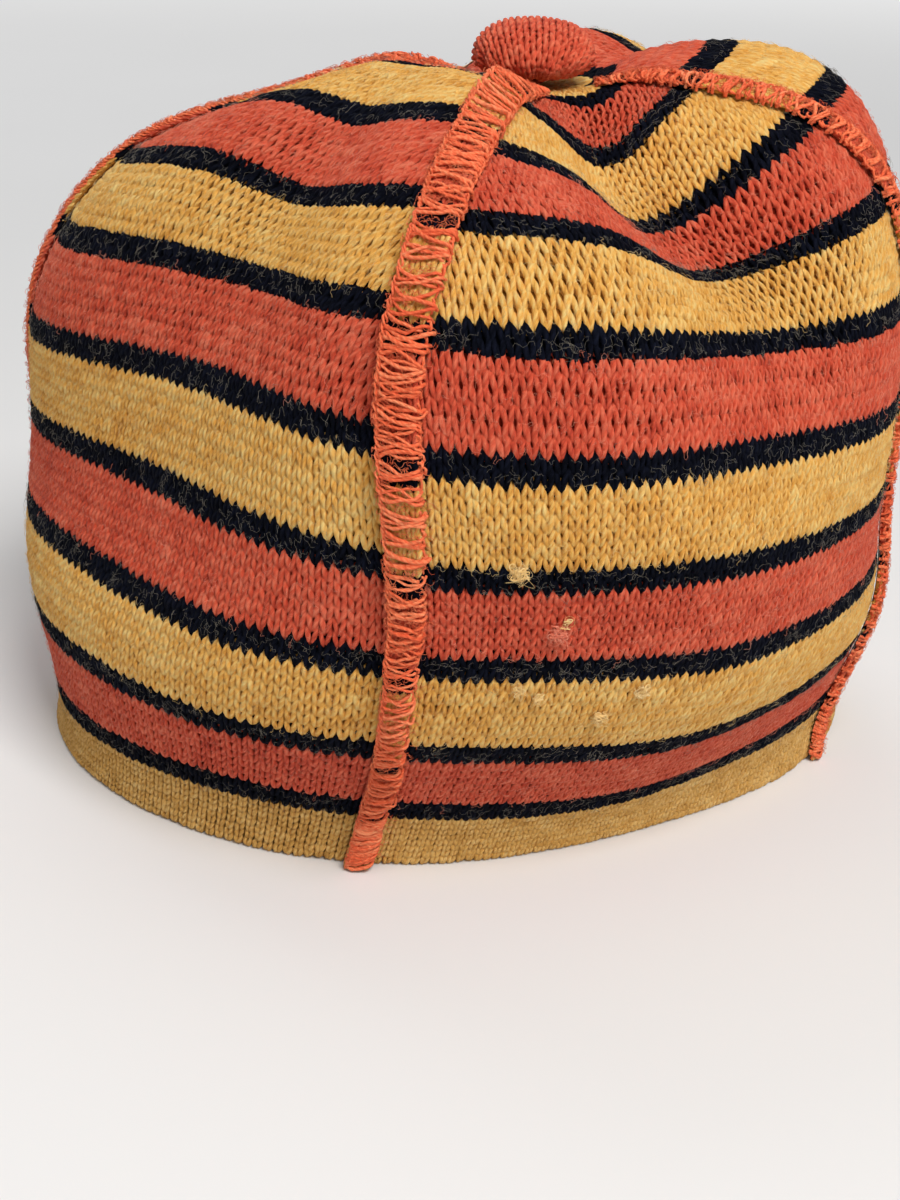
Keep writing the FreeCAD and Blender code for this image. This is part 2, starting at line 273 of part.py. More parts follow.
    "back_left": """
15.33,85.92,-5.44 15.15,84.97,0.00 14.98,84.03,5.44 15.07,83.95,11.95 15.29,84.29,18.03
15.60,84.82,24.34 15.98,85.40,31.55 16.27,84.82,39.61 16.37,82.66,47.63 16.39,79.70,54.74
16.49,77.06,61.46 16.67,74.89,68.23 16.96,73.23,75.33 17.35,72.14,82.82 17.79,71.28,90.72
18.20,69.82,98.85 18.54,67.66,106.96 18.76,64.68,114.93 18.81,60.41,122.56 18.67,54.94,129.05
18.42,48.75,134.23 18.02,41.26,138.09 17.51,33.30,140.40 16.99,24.93,141.30 16.19,16.54,142.54
16.93,9.18,140.44 18.01,1.24,139.20 18.35,-2.38,139.07 18.35,-5.32,138.98 18.21,-12.90,138.95
4.29,83.69,-5.36 4.23,82.86,0.00 4.17,82.03,5.36 4.23,82.17,11.77 4.32,82.80,17.86
4.46,83.72,24.14 4.63,84.76,31.30 4.84,84.75,39.34 5.07,83.14,47.37 5.34,80.63,54.51
5.65,78.35,61.22 6.00,76.44,68.00 6.40,74.94,75.05 6.85,73.85,82.44 7.33,72.87,90.17
7.84,71.34,98.08 8.38,69.17,105.92 8.93,66.10,113.59 9.48,61.74,120.91 10.02,56.18,127.21
10.56,49.92,132.29 11.09,42.50,136.30 11.60,34.57,139.34 12.14,26.34,141.19 12.45,18.05,142.58
13.85,10.59,141.82 15.92,2.89,139.43 17.00,-1.50,139.17 17.80,-5.27,139.00 18.76,-12.95,138.94
-6.74,81.46,-5.29 -6.69,80.75,0.00 -6.63,80.04,5.29 -6.62,80.39,11.59 -6.65,81.32,17.68
-6.69,82.62,23.95 -6.72,84.12,31.04 -6.59,84.67,39.06 -6.23,83.61,47.11 -5.72,81.56,54.28
-5.19,79.65,60.99 -4.67,77.99,67.78 -4.16,76.66,74.78 -3.66,75.57,82.07 -3.13,74.46,89.63
-2.51,72.86,97.30 -1.78,70.68,104.88 -0.90,67.52,112.25 0.16,63.08,119.26 1.38,57.41,125.38
2.70,51.08,130.35 4.16,43.75,134.51 5.68,35.83,138.27 7.29,27.76,141.08 8.70,19.56,142.62
10.76,12.01,143.19 13.83,4.54,139.66 15.66,-0.61,139.27 17.25,-5.22,139.01 19.31,-13.00,138.93
-16.87,77.66,-5.22 -16.74,77.06,0.00 -16.62,76.45,5.22 -16.72,76.94,11.45 -16.97,78.09,17.55
-17.31,79.66,23.80 -17.70,81.49,30.84 -17.84,82.46,38.83 -17.55,81.88,46.88 -16.95,80.25,54.07
-16.34,78.66,60.76 -15.75,77.24,67.56 -15.19,76.04,74.52 -14.65,74.96,81.73 -14.04,73.73,89.16
-13.28,72.05,96.63 -12.35,69.85,103.99 -11.13,66.69,111.09 -9.53,62.26,117.80 -7.59,56.68,123.66
-5.46,50.45,128.52 -3.08,43.36,132.47 -0.53,35.68,136.38 2.08,27.87,139.64 4.66,20.00,141.49
7.45,12.57,143.19 11.38,5.45,140.33 14.27,-0.11,139.20 16.72,-5.20,139.05 19.84,-13.03,138.89
-26.30,73.12,-5.17 -26.13,72.61,0.00 -25.96,72.09,5.17 -26.19,72.67,11.33 -26.71,73.95,17.44
-27.40,75.68,23.67 -28.21,77.71,30.67 -28.71,78.98,38.64 -28.56,78.76,46.67 -27.96,77.46,53.89
-27.34,76.13,60.57 -26.73,74.89,67.36 -26.15,73.75,74.29 -25.56,72.62,81.43 -24.82,71.20,88.74
-23.87,69.34,96.03 -22.65,66.94,103.12 -21.00,63.65,109.90 -18.80,59.17,116.13 -16.14,53.72,121.46
-13.22,47.74,125.89 -9.99,41.13,129.54 -6.51,33.98,133.48 -2.99,26.72,137.03 0.59,19.46,139.36
4.18,12.43,141.79 8.88,5.81,140.79 12.82,0.09,139.16 16.18,-5.22,139.08 20.38,-13.00,138.86
-35.10,67.99,-5.13 -34.90,67.54,0.00 -34.69,67.09,5.13 -35.08,67.71,11.24 -35.88,69.03,17.36
-36.96,70.82,23.58 -38.24,72.92,30.54 -39.14,74.34,38.48 -39.23,74.35,46.51 -38.69,73.30,53.74
-38.10,72.15,60.40 -37.50,71.01,67.18 -36.90,69.87,74.08 -36.22,68.61,81.18 -35.26,66.93,88.39
-33.95,64.76,95.50 -32.26,62.01,102.28 -29.99,58.41,108.64 -27.01,53.76,114.18 -23.55,48.43,118.62
-19.88,42.86,122.17 -15.95,36.91,125.30 -11.75,30.59,129.08 -7.54,24.20,132.65 -3.22,17.86,135.54
1.09,11.56,138.47 6.42,5.60,140.57 11.33,0.03,139.22 15.62,-5.29,139.08 20.94,-12.93,138.86
-43.49,62.44,-5.09 -43.25,62.04,0.00 -43.00,61.63,5.09 -43.54,62.23,11.18 -44.63,63.52,17.31
-46.11,65.27,23.53 -47.87,67.32,30.45 -49.20,68.75,38.37 -49.54,68.89,46.39 -49.11,68.00,53.63
-48.58,66.97,60.29 -48.02,65.87,67.06 -47.39,64.69,73.94 -46.58,63.31,81.00 -45.32,61.40,88.14
-43.56,58.96,95.10 -41.22,55.89,101.60 -38.14,52.03,107.57 -34.23,47.30,112.40 -29.91,42.19,115.90
-25.56,37.12,118.44 -21.03,31.90,121.01 -16.30,26.48,124.47 -11.60,21.05,127.94 -6.75,15.68,131.34
-1.85,10.21,134.62 4.03,4.96,139.69 9.82,-0.27,139.37 15.04,-5.42,139.05 21.52,-12.80,138.88
-51.62,56.45,-5.06 -51.32,56.06,0.00 -51.02,55.68,5.06 -51.69,56.22,11.14 -53.07,57.41,17.30
-54.93,59.02,23.53 -57.15,60.91,30.43 -58.90,62.24,38.32 -59.51,62.39,46.34 -59.20,61.59,53.59
-58.77,60.61,60.25 -58.27,59.54,67.01 -57.65,58.33,73.87 -56.76,56.88,80.91 -55.25,54.89,88.02
-53.08,52.39,94.93 -50.15,49.29,101.28 -46.33,45.52,107.04 -41.61,41.07,111.49 -36.54,36.43,114.45
-31.57,31.97,116.47 -26.47,27.44,118.59 -21.17,22.77,121.82 -15.92,18.07,125.23 -10.43,13.46,129.17
-4.90,8.65,132.40 1.64,4.00,138.95 8.33,-0.81,139.48 14.45,-5.64,139.03 22.11,-12.59,138.90
-59.56,49.85,-5.04 -59.18,49.48,0.00 -58.79,49.10,5.04 -59.56,49.54,11.14 -61.18,50.56,17.34
-63.39,51.95,23.59 -66.04,53.58,30.47 -68.17,54.70,38.34 -69.02,54.76,46.35 -68.84,53.97,53.62
-68.52,53.00,60.29 -68.12,51.91,67.05 -67.58,50.68,73.90 -66.70,49.20,80.95 -65.10,47.27,88.08
-62.73,44.90,95.02 -59.48,42.06,101.41 -55.24,38.73,107.23 -50.09,34.95,111.78 -44.53,31.05,114.86
-39.05,27.30,117.15 -33.30,23.40,119.14 -27.21,19.34,122.27 -21.08,15.13,125.79 -14.58,11.08,130.08
-8.13,6.83,133.38 -0.73,2.68,139.13 6.96,-1.63,139.51 13.89,-5.95,139.04 22.67,-12.27,138.89
-67.20,42.43,-5.03 -66.70,42.07,0.00 -66.19,41.70,5.03 -67.01,42.00,11.17 -68.82,42.80,17.43
-71.31,43.89,23.71 -74.30,45.14,30.60 -76.71,45.93,38.44 -77.73,45.82,46.45 -77.64,44.96,53.74
-77.42,43.93,60.44 -77.12,42.78,67.22 -76.67,41.46,74.07 -75.88,39.95,81.14 -74.30,38.07,88.34
-71.91,35.89,95.40 -68.55,33.39,101.98 -64.19,30.60,108.05 -58.94,27.60,113.00 -53.16,24.55,116.69
-47.28,21.56,119.59 -40.75,18.34,122.30 -33.68,14.92,124.99 -26.36,11.26,128.58 -18.63,7.89,132.93
-11.07,4.37,136.25 -2.73,0.85,140.49 5.84,-2.73,139.43 13.40,-6.38,139.09 23.16,-11.85,138.84
-74.26,33.98,-5.02 -73.61,33.64,0.00 -72.95,33.29,5.02 -73.75,33.44,11.24 -75.65,33.96,17.57
-78.31,34.67,23.91 -81.52,35.47,30.83 -84.07,35.85,38.65 -85.12,35.48,46.65 -85.02,34.50,53.96
-84.83,33.35,60.72 -84.58,32.06,67.52 -84.18,30.60,74.41 -83.41,28.96,81.52 -81.83,27.06,88.83
-79.35,24.96,96.05 -75.81,22.70,102.86 -71.31,20.36,109.20 -66.01,18.05,114.56 -60.07,15.78,118.83
-53.86,13.60,122.31 -46.57,11.19,125.49 -38.56,8.63,128.16 -30.09,5.83,131.52 -21.35,3.54,135.71
-13.00,1.09,138.86 -3.81,-1.52,141.84 5.17,-4.11,139.34 13.01,-6.90,139.13 23.55,-11.33,138.80
-80.27,24.40,-5.03 -79.45,24.11,0.00 -78.62,23.81,5.03 -79.32,23.81,11.34 -81.19,24.02,17.78
-83.87,24.33,24.20 -87.10,24.62,31.18 -89.57,24.55,38.98 -90.47,23.90,46.96 -90.22,22.77,54.28
-89.95,21.48,61.13 -89.65,20.03,67.98 -89.20,18.39,74.93 -88.33,16.56,82.14 -86.60,14.57,89.60
-83.81,12.49,97.02 -79.79,10.40,104.03 -74.92,8.46,110.56 -69.37,6.73,116.11 -63.24,5.23,120.61
-56.73,3.87,124.35 -48.84,2.44,127.63 -40.19,0.97,130.27 -31.03,-0.62,133.48 -21.89,-1.52,137.28
-13.40,-2.70,140.26 -3.56,-4.18,142.12 5.12,-5.68,139.29 12.77,-7.50,139.14 23.79,-10.73,138.79
-84.95,13.81,-5.06 -83.95,13.59,0.00 -82.95,13.38,5.06 -83.50,13.24,11.48 -85.23,13.16,18.02
-87.78,13.05,24.56 -90.83,12.84,31.62 -93.01,12.33,39.41 -93.53,11.41,47.37 -92.99,10.17,54.72
-92.50,8.74,61.68 -92.00,7.14,68.60 -91.35,5.31,75.65 -90.23,3.32,82.99 -88.20,1.26,90.65
-84.88,-0.74,98.28 -80.18,-2.55,105.49 -74.82,-4.02,112.14 -68.94,-5.12,117.71 -62.71,-5.85,122.17
-55.90,-6.37,125.97 -47.64,-6.70,129.08 -38.67,-7.00,131.91 -29.27,-7.13,135.09 -20.42,-6.59,138.18
-12.26,-6.51,141.32 -2.06,-6.80,141.35 5.80,-7.26,139.30 12.72,-8.14,139.11 23.84,-10.08,138.83
-87.11,2.40,-5.12 -85.98,2.28,0.00 -84.85,2.16,5.12 -85.22,1.93,11.67 -86.69,1.60,18.32
-88.92,1.14,24.98 -91.56,0.52,32.16 -93.13,-0.29,39.98 -93.02,-1.30,47.94 -91.96,-2.52,55.31
-91.06,-3.95,62.42 -90.22,-5.58,69.45 -89.24,-7.45,76.66 -87.81,-9.48,84.22 -85.46,-11.47,92.15
-81.67,-13.22,100.06 -76.51,-14.55,107.54 -70.95,-15.46,114.37 -64.88,-15.86,120.02 -58.71,-15.85,124.52
-51.41,-15.40,128.28 -43.03,-14.57,131.35 -33.84,-13.69,133.75 -24.99,-12.30,136.09 -17.08,-10.69,138.56
-9.34,-9.56,141.12 0.85,-8.80,140.31 7.23,-8.72,139.18 12.80,-8.79,139.06 23.76,-9.44,138.88
-89.26,-9.02,-5.18 -88.01,-9.04,0.00 -86.76,-9.06,5.18 -86.94,-9.38,11.86 -88.16,-9.96,18.61
-90.07,-10.77,25.41 -92.28,-11.81,32.70 -93.25,-12.92,40.56 -92.52,-14.02,48.50 -90.94,-15.20,55.91
-89.63,-16.63,63.16 -88.43,-18.29,70.31 -87.13,-20.22,77.68 -85.40,-22.27,85.46 -82.73,-24.21,93.64
-78.45,-25.70,101.83 -72.85,-26.55,109.58 -67.07,-26.89,116.61 -60.81,-26.60,122.32 -54.72,-25.86,126.86
-46.92,-24.44,130.60 -38.43,-22.44,133.63 -29.01,-20.38,135.58 -20.72,-17.47,137.10 -13.75,-14.79,138.94
-6.42,-12.61,140.93 3.76,-10.79,139.28 8.66,-10.19,139.06 12.88,-9.44,139.01 23.68,-8.79,138.93
""",
    "front_left": """
-86.22,13.99,-5.04 -85.19,13.77,0.00 -84.15,13.56,5.04 -84.71,13.41,11.46 -86.48,13.29,18.01
-89.10,13.14,24.55 -92.27,12.86,31.57 -94.54,12.25,39.35 -95.19,11.22,47.31 -94.71,9.88,54.64
-94.30,8.36,61.59 -93.85,6.67,68.48 -93.21,4.74,75.60 -92.00,2.62,83.12 -89.79,0.43,91.07
-86.03,-1.67,99.01 -80.72,-3.49,106.49 -74.84,-4.90,113.25 -68.39,-5.85,118.76 -61.87,-6.46,123.12
-53.83,-6.66,126.90 -45.65,-7.21,129.83 -35.95,-7.58,132.11 -26.77,-7.25,134.56 -18.00,-6.34,137.46
-9.55,-6.14,140.93 2.51,-6.28,139.94 8.38,-7.18,138.87 13.10,-8.06,139.04 23.46,-10.17,138.90
-87.11,2.40,-5.12 -85.98,2.28,0.00 -84.85,2.16,5.12 -85.22,1.93,11.67 -86.69,1.60,18.32
-88.92,1.14,24.98 -91.56,0.52,32.16 -93.13,-0.29,39.98 -93.02,-1.30,47.94 -91.96,-2.52,55.31
-91.06,-3.95,62.42 -90.22,-5.58,69.45 -89.24,-7.45,76.66 -87.81,-9.48,84.22 -85.46,-11.47,92.15
-81.67,-13.22,100.06 -76.51,-14.55,107.54 -70.95,-15.46,114.37 -64.88,-15.86,120.02 -58.71,-15.85,124.52
-51.41,-15.40,128.28 -43.03,-14.57,131.35 -33.84,-13.69,133.75 -24.99,-12.30,136.09 -17.08,-10.69,138.56
-9.34,-9.56,141.12 0.85,-8.80,140.31 7.23,-8.72,139.18 12.80,-8.79,139.06 23.76,-9.44,138.88
-87.99,-9.19,-5.20 -86.77,-9.21,0.00 -85.55,-9.24,5.20 -85.73,-9.55,11.88 -86.91,-10.10,18.63
-88.75,-10.86,25.42 -90.84,-11.83,32.74 -91.72,-12.84,40.62 -90.86,-13.82,48.57 -89.21,-14.91,55.99
-87.83,-16.25,63.25 -86.58,-17.82,70.43 -85.27,-19.64,77.72 -83.63,-21.57,85.32 -81.14,-23.37,93.22
-77.30,-24.77,101.10 -72.31,-25.61,108.59 -67.06,-26.02,115.49 -61.36,-25.87,121.28 -55.55,-25.25,125.91
-48.99,-24.15,129.67 -40.42,-21.93,132.88 -31.73,-19.80,135.38 -23.22,-17.34,137.63 -16.16,-15.04,139.65
-9.13,-12.99,141.32 -0.81,-11.32,140.68 6.08,-10.26,139.49 12.49,-9.52,139.08 24.07,-8.70,138.86
-85.93,-20.62,-5.36 -84.67,-20.57,0.00 -83.42,-20.52,5.36 -83.45,-20.91,12.20 -84.28,-21.61,19.00
-85.64,-22.56,25.92 -87.07,-23.70,33.37 -87.09,-24.65,41.33 -85.42,-25.33,49.27 -83.17,-26.05,56.76
-81.26,-27.09,64.20 -79.62,-28.42,71.56 -78.02,-30.02,78.99 -76.27,-31.75,86.67 -73.75,-33.28,94.57
-70.07,-34.31,102.45 -65.58,-34.79,109.99 -60.87,-34.86,117.05 -55.62,-34.29,123.07 -50.25,-33.19,127.91
-43.97,-31.44,131.84 -36.45,-28.43,134.88 -28.57,-25.32,137.32 -20.77,-21.93,139.37 -14.49,-18.97,141.03
-8.34,-16.17,141.93 -1.44,-13.74,141.06 5.47,-11.81,139.68 12.36,-10.24,139.09 24.20,-7.99,138.84
-81.72,-31.20,-5.63 -80.47,-31.13,0.00 -79.22,-31.06,5.63 -79.13,-31.55,12.64 -79.66,-32.38,19.45
-80.57,-33.46,26.44 -81.34,-34.63,34.00 -80.64,-35.36,42.01 -78.31,-35.58,49.95 -75.59,-35.80,57.53
-73.28,-36.41,65.12 -71.33,-37.39,72.67 -69.56,-38.70,80.25 -67.78,-40.20,88.03 -65.30,-41.45,95.93
-61.84,-42.15,103.78 -57.97,-42.43,111.36 -53.81,-42.27,118.55 -49.07,-41.36,124.78 -44.12,-39.85,129.83
-38.24,-37.47,133.99 -31.48,-33.76,136.97 -24.46,-29.90,139.38 -17.52,-25.78,141.26 -11.95,-22.25,142.67
-6.73,-18.93,142.82 -0.89,-15.93,141.38 5.56,-13.29,139.75 12.47,-10.91,139.09 24.09,-7.31,138.84
-75.46,-40.43,-6.07 -74.23,-40.40,0.00 -73.00,-40.37,6.07 -72.86,-41.05,13.27 -73.15,-42.03,20.02
-73.70,-43.24,27.00 -73.95,-44.39,34.58 -72.73,-44.81,42.63 -70.01,-44.48,50.58 -67.03,-44.14,58.22
-64.49,-44.24,65.94 -62.37,-44.80,73.66 -60.52,-45.78,81.40 -58.72,-47.01,89.26 -56.30,-47.93,97.15
-53.11,-48.33,104.92 -49.77,-48.50,112.46 -46.09,-48.16,119.63 -41.88,-47.01,125.95 -37.40,-45.14,131.16
-32.06,-42.25,135.61 -26.10,-37.97,138.61 -19.92,-33.51,141.11 -13.83,-28.84,142.96 -8.89,-24.83,144.23
-4.44,-21.16,143.58 0.48,-17.79,141.53 6.26,-14.59,139.75 12.80,-11.52,139.09 23.76,-6.71,138.85
-67.82,-48.16,-6.61 -66.58,-48.20,0.00 -65.35,-48.25,6.61 -65.18,-49.20,13.98 -65.26,-50.37,20.62
-65.53,-51.74,27.52 -65.41,-52.87,35.06 -63.94,-53.03,43.11 -61.14,-52.21,51.07 -58.17,-51.35,58.76
-55.60,-50.94,66.58 -53.45,-51.07,74.45 -51.63,-51.70,82.36 -49.82,-52.58,90.30 -47.44,-53.12,98.17
-44.48,-53.18,105.79 -41.50,-53.17,113.15 -38.18,-52.60,120.07 -34.44,-51.22,126.24 -30.47,-49.06,131.45
-25.75,-45.80,136.10 -20.63,-41.13,139.22 -15.31,-36.26,141.98 -10.04,-31.19,144.05 -5.67,-26.80,145.26
-1.84,-22.87,143.92 2.31,-19.24,141.46 7.37,-15.64,139.67 13.30,-12.02,139.08 23.26,-6.20,138.86
-59.30,-54.38,-7.18 -58.03,-54.54,0.00 -56.77,-54.70,7.18 -56.50,-55.97,14.68 -56.39,-57.38,21.15
-56.44,-58.97,27.93 -56.14,-60.20,35.36 -54.68,-60.25,43.39 -52.08,-59.12,51.37 -49.34,-57.85,59.07
-46.94,-57.02,66.97 -44.90,-56.73,74.97 -43.16,-56.98,83.05 -41.36,-57.40,91.10 -39.02,-57.40,98.92
-36.23,-56.99,106.33 -33.41,-56.57,113.33 -30.33,-55.62,119.70 -27.01,-53.98,125.39 -23.55,-51.60,130.37
-19.50,-48.10,134.97 -15.33,-43.38,138.52 -10.86,-38.34,141.79 -6.38,-33.01,144.43 -2.53,-28.30,145.58
0.83,-24.12,143.79 4.39,-20.28,141.19 8.74,-16.41,139.56 13.91,-12.41,139.07 22.65,-5.82,138.87
-50.34,-59.26,-7.70 -48.99,-59.54,0.00 -47.64,-59.81,7.70 -47.21,-61.43,15.27 -46.88,-63.12,21.54
-46.73,-65.01,28.14 -46.35,-66.50,35.40 -45.08,-66.71,43.38 -42.90,-65.54,51.39 -40.58,-64.08,59.08
-38.51,-62.97,67.03 -36.71,-62.33,75.14 -35.14,-62.15,83.41 -33.44,-61.98,91.60 -31.23,-61.28,99.40
-28.61,-60.20,106.58 -25.91,-59.13,113.06 -23.06,-57.66,118.74 -20.11,-55.69,123.75 -17.15,-53.15,128.38
-13.77,-49.53,132.66 -10.43,-45.10,137.07 -6.69,-39.99,141.04 -2.89,-34.46,144.42 0.48,-29.45,145.45
3.45,-25.02,143.42 6.54,-20.94,140.82 10.23,-16.87,139.44 14.58,-12.66,139.06 21.98,-5.57,138.88
-41.19,-62.95,-8.13 -39.71,-63.31,0.00 -38.22,-63.66,8.13 -37.57,-65.63,15.73 -36.98,-67.62,21.82
-36.60,-69.90,28.24 -36.14,-71.80,35.36 -35.09,-72.39,43.27 -33.38,-71.47,51.30 -31.56,-70.08,58.96
-29.95,-68.90,66.90 -28.55,-68.04,75.05 -27.31,-67.48,83.46 -25.92,-66.76,91.81 -24.07,-65.42,99.65
-21.81,-63.75,106.71 -19.38,-62.08,112.89 -16.82,-60.11,118.17 -14.24,-57.77,122.83 -11.70,-55.01,127.30
-8.85,-51.18,131.42 -5.99,-46.82,136.40 -2.79,-41.47,140.81 0.47,-35.61,144.54 3.38,-30.30,145.34
6.01,-25.58,143.03 8.70,-21.24,140.48 11.78,-17.05,139.34 15.28,-12.77,139.04 21.28,-5.45,138.89
-31.98,-65.58,-8.41 -30.35,-65.98,0.00 -28.72,-66.38,8.41 -27.75,-68.65,16.07 -26.83,-70.94,22.03
-26.15,-73.63,28.34 -25.51,-76.01,35.39 -24.56,-77.11,43.27 -23.25,-76.62,51.30 -21.94,-75.55,58.85
-20.85,-74.56,66.70 -19.97,-73.72,74.78 -19.25,-72.95,83.21 -18.42,-71.90,91.69 -17.21,-70.26,99.69
-15.55,-68.35,106.86 -13.57,-66.36,113.15 -11.39,-64.06,118.63 -9.15,-61.32,123.56 -6.93,-58.12,128.24
-4.52,-53.92,132.71 -1.79,-48.72,137.30 1.04,-42.74,141.56 3.80,-36.34,144.93 6.26,-30.76,145.34
8.54,-25.73,142.65 10.84,-21.15,140.18 13.30,-16.92,139.26 15.99,-12.75,139.03 20.57,-5.48,138.90
-22.82,-67.26,-8.51 -21.03,-67.63,0.00 -19.24,-68.00,8.51 -17.88,-70.51,16.26 -16.56,-73.03,22.20
-15.49,-76.11,28.55 -14.54,-78.92,35.66 -13.52,-80.49,43.58 -12.44,-80.47,51.54 -11.55,-79.92,58.92
-10.93,-79.35,66.55 -10.59,-78.77,74.39 -10.50,-78.02,82.69 -10.39,-76.89,91.19 -9.97,-75.25,99.37
-8.97,-73.34,106.79 -7.46,-71.22,113.49 -5.64,-68.56,119.49 -3.75,-65.27,124.96 -1.88,-61.38,129.95
0.12,-56.59,134.83 2.61,-50.12,138.65 5.01,-43.34,142.47 7.21,-36.41,145.16 9.20,-30.62,145.01
11.07,-25.37,142.09 12.92,-20.61,139.87 14.76,-16.50,139.19 16.65,-12.61,139.02 19.91,-5.62,138.91
-13.66,-68.08,-8.43 -11.73,-68.35,0.00 -9.80,-68.61,8.43 -8.04,-71.25,16.29 -6.29,-73.93,22.29
-4.74,-77.31,28.75 -3.38,-80.51,36.04 -2.17,-82.43,44.05 -1.17,-82.88,51.93 -0.51,-82.89,59.09
-0.23,-82.85,66.44 -0.32,-82.68,73.97 -0.83,-82.19,82.05 -1.43,-81.11,90.49 -1.74,-79.50,98.79
-1.32,-77.56,106.45 -0.21,-75.09,113.47 1.25,-71.83,119.85 2.72,-67.70,125.51 4.11,-62.94,130.48
5.60,-57.35,135.10 7.47,-50.09,138.93 9.17,-42.78,142.48 10.70,-35.63,144.98 12.20,-29.73,144.01
13.54,-24.47,141.18 14.89,-19.53,139.52 16.10,-15.80,139.14 17.27,-12.39,139.01 19.29,-5.84,138.93
-4.53,-67.58,-8.16 -2.56,-67.70,0.00 -0.59,-67.81,8.16 1.52,-70.42,16.05 3.64,-73.14,22.16
5.67,-76.69,28.76 7.49,-80.11,36.28 8.99,-82.28,44.41 10.06,-83.06,52.24 10.73,-83.54,59.23
10.97,-83.98,66.37 10.77,-84.30,73.64 10.04,-84.27,81.54 9.09,-83.50,89.99 8.39,-82.15,98.47
8.45,-80.24,106.46 9.15,-77.34,113.88 10.02,-73.20,120.55 10.66,-68.01,126.13 11.14,-62.33,130.71
11.74,-55.73,134.71 12.56,-48.69,138.36 13.43,-41.19,141.73 14.24,-34.19,144.51 15.21,-28.27,142.50
15.94,-23.23,139.98 16.79,-18.02,139.11 17.35,-14.90,139.10 17.85,-12.14,138.98 18.71,-6.09,138.96
4.60,-67.09,-7.88 6.61,-67.05,0.00 8.61,-67.01,7.88 11.07,-69.58,15.81 13.57,-72.35,22.03
16.08,-76.08,28.78 18.37,-79.72,36.52 20.15,-82.13,44.78 21.30,-83.25,52.56 21.97,-84.19,59.38
22.16,-85.11,66.29 21.86,-85.91,73.31 20.92,-86.35,81.03 19.62,-85.90,89.48 18.51,-84.79,98.16
18.22,-82.92,106.48 18.51,-79.59,114.29 18.79,-74.57,121.26 18.60,-68.32,126.76 18.17,-61.72,130.94
17.87,-54.11,134.32 17.65,-47.30,137.78 17.68,-39.60,140.98 17.77,-32.76,144.03 18.22,-26.82,140.99
18.33,-21.98,138.78 18.69,-16.50,138.71 18.60,-14.01,139.07 18.43,-11.89,138.95 18.13,-6.33,138.98
""",
}


def read_net(text):
    nodes = [tuple(float(number) for number in node.split(",")) for node in text.split()]
    rows = [nodes[k:k + ROW_NODES] for k in range(0, len(nodes), ROW_NODES)]
    return [row[:-1] + [CROWN_NODE] + row[-1:] for row in rows]


NET = {gore: read_net(text) for gore, text in NODES.items()}


def basis(x):
    """Weights of the four nodes of a uniform cubic B-spline span."""
    y = 1.0 - x
    return (y * y * y / 6.0, (3 * x * x * x - 6 * x * x + 4) / 6.0,
            (-3 * x * x * x + 3 * x * x + 3 * x + 1) / 6.0, x * x * x / 6.0)


def skin(gore, a, course):
    """Point of the outer face at a (-1 to 1) across the gore."""
    u = (a + 1.0) / 2.0 * SPANS_ACROSS
    v = (course - RIM) / (TOP - RIM) * SPANS_ALONG
    i = min(max(int(math.floor(u)), 0), SPANS_ACROSS - 1)
    j = min(max(int(math.floor(v)), 0), SPANS_ALONG - 1)
    weights_u = basis(u - i)
    weights_v = basis(v - j)
    x = y = z = 0.0
    for p in range(4):
        row = NET[gore][i + p]
        for q in range(4):
            weight = weights_u[p] * weights_v[q]
            node = row[j + q]
            x += weight * node[0]
            y += weight * node[1]
            z += weight * node[2]
    return Vector(x, y, z)


def raw_normal(gore, a, course):
    """Outward direction of one gore's face, from short steps on it."""
    a0, a1 = max(a - 0.02, -1.0), min(a + 0.02, 1.0)
    c0, c1 = max(course - 0.3, RIM), min(course + 0.3, TOP - 0.2)
    across = skin(gore, a1, course) - skin(gore, a0, course)
    along = skin(gore, a, c1) - skin(gore, a, c0)
    out = across.cross(along)
    if out.Length < 1e-9:
        return Vector(0, 0, 1)
    return out.normalize()


def ease(x):
    """Smooth step from 0 to 1."""
    x = min(max(x, 0.0), 1.0)
    return x * x * (3 - 2 * x)


def blend(start, end, share):
    return (start * (1 - share) + end * share).normalize()


def normal(gore, a, course):
    """Outward direction, shared by the two gores along a seam and turned
    level near the rim."""
    out = raw_normal(gore, a, course)
    near_seam = ease((abs(a) - 0.8) / 0.2)
    if near_seam > 0:
        side = -1 if a < 0 else 1
        neighbour = GORES[(GORES.index(gore) + side) % 4]
        other = raw_normal(neighbour, -1.0 * side, course)
        own = raw_normal(gore, 1.0 * side, course)
        out = blend(out, (own + other).normalize(), near_seam)
    near_rim = ease(1.0 - (course - RIM) / RIM_ZONE)
    if near_rim > 0:
        out = blend(out, Vector(out.x, out.y, 0).normalize(), near_rim)
    return out


def at_rim(course):
    return course <= RIM + 1e-6


def fabric(gore, a, course, depth):
    """Point at a depth under the outer face. The rim is flat on Z = 0."""
    point = skin(gore, a, course) - normal(gore, a, course) * depth
    if at_rim(course):
        point.z = 0.0
    return point


